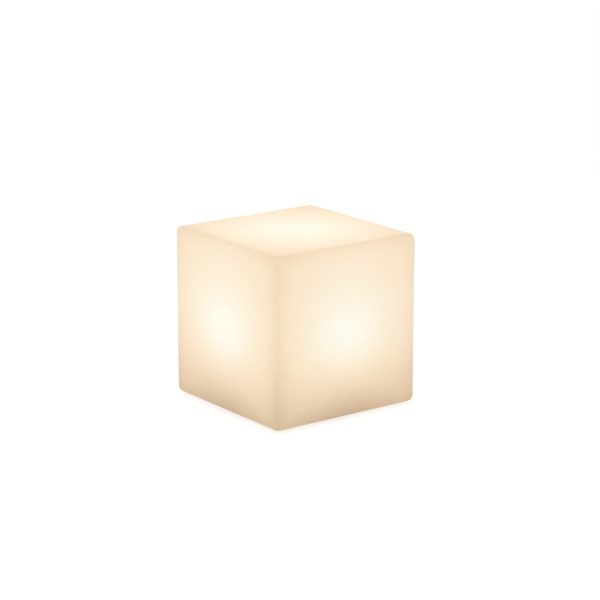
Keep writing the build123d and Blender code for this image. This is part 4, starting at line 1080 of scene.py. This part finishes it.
def opal_dome(settings):
    """Opal cover: bright over the light boards. Its glow comes in from 16 mm below their lower end to
    8 mm above it, and falls a little from 4 mm below their upper end to 16 mm above it."""
    material, wires, shader, effect = grained(
        "opal dome", (0.74, 0.72, 0.66), 0.7 * MM, 0.40, 0.015 * MM, 0.04, 0.12, Emission_Strength=1.0
    )
    _, _, height = wires.parts(wires.place())
    low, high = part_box("light_board_front")[0].z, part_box("light_board_front")[1].z
    lit = wires.step(height, low - 16 * MM, low + 8 * MM)
    crown = wires.sum("SUBTRACT", 1.0, wires.step(height, high - 4 * MM, high + 16 * MM))
    level = wires.sum("MULTIPLY", lit, wires.sum("MULTIPLY_ADD", crown, 0.4, 0.6))
    cloudy = wires.sum("MULTIPLY_ADD", wires.noise(wires.place(), 60.0, 2.0), 0.08, 0.96)
    level = wires.sum("MULTIPLY", level, cloudy)
    stops = [(0.0, (0.05, 0.032, 0.018)), (0.5, tuple(settings.dim)), (1.0, tuple(settings.light))]
    glow = wires.scaled(wires.ramp(level, stops), 0.62)
    wires.feed(shader.inputs["Emission Color"], glow)
    darker = wires.sum("MULTIPLY_ADD", level, -0.5, 1.0)
    wires.feed(shader.inputs["Base Color"], wires.scaled(effect["Color"], darker))
    return material


def clear_rod():
    """Clear acrylic with faint draw lines along the rod."""
    material, wires, shader = new_material(
        "clear acrylic", Base_Color=(0.93, 0.95, 0.96, 1.0), Transmission_Weight=1.0, IOR=1.49, Metallic=0.0
    )
    lines = wires.noise(wires.vector("MULTIPLY", wires.place(), (1.0, 1.0, 0.08)), 2500.0, 2.0)
    wires.feed(shader.inputs["Roughness"], wires.sum("MULTIPLY_ADD", lines, 0.10, 0.03))
    raised(wires, shader, lines, 0.01 * MM)
    return material


# ================================================================ panel and registration
OPERATORS = (
    CUBELIGHT_OT_skin, CUBELIGHT_OT_plastics, CUBELIGHT_OT_rubbers, CUBELIGHT_OT_feet, CUBELIGHT_OT_metals,
    CUBELIGHT_OT_boards, CUBELIGHT_OT_cells, CUBELIGHT_OT_lamps, CUBELIGHT_OT_stage,
)
SETTINGS = {
    "cube_skin": CubeSkinSettings, "cube_feet": FootSettings, "cube_glow": GlowSettings,
    "cube_lamps": LampSettings, "cube_stage": StageSettings,
}


class CUBELIGHT_PT_looks(bpy.types.Panel):
    """Settings and steps of the cube light's looks"""

    bl_idname = "CUBELIGHT_PT_looks"
    bl_label = "Cube light"
    bl_space_type = "VIEW_3D"
    bl_region_type = "UI"
    bl_category = "Cube light"

    def draw(self, context):
        for name in SETTINGS:
            settings = getattr(context.scene, name)
            box = self.layout.box()
            for label in settings.__annotations__:
                box.prop(settings, label)
        for operator in OPERATORS:
            self.layout.operator(operator.bl_idname)


def register():
    for made in (*SETTINGS.values(), *OPERATORS, CUBELIGHT_PT_looks):
        bpy.utils.register_class(made)
    for name, made in SETTINGS.items():
        setattr(bpy.types.Scene, name, bpy.props.PointerProperty(type=made))


def unregister():
    for name in SETTINGS:
        delattr(bpy.types.Scene, name)
    for made in (CUBELIGHT_PT_looks, *reversed(OPERATORS), *reversed(SETTINGS.values())):
        bpy.utils.unregister_class(made)


def main():
    """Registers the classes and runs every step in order."""
    register()
    for operator in OPERATORS:
        step = operator.bl_idname.split(".")[1]
        getattr(bpy.ops.cubelight, step)()


if __name__ == "__main__":
    main()
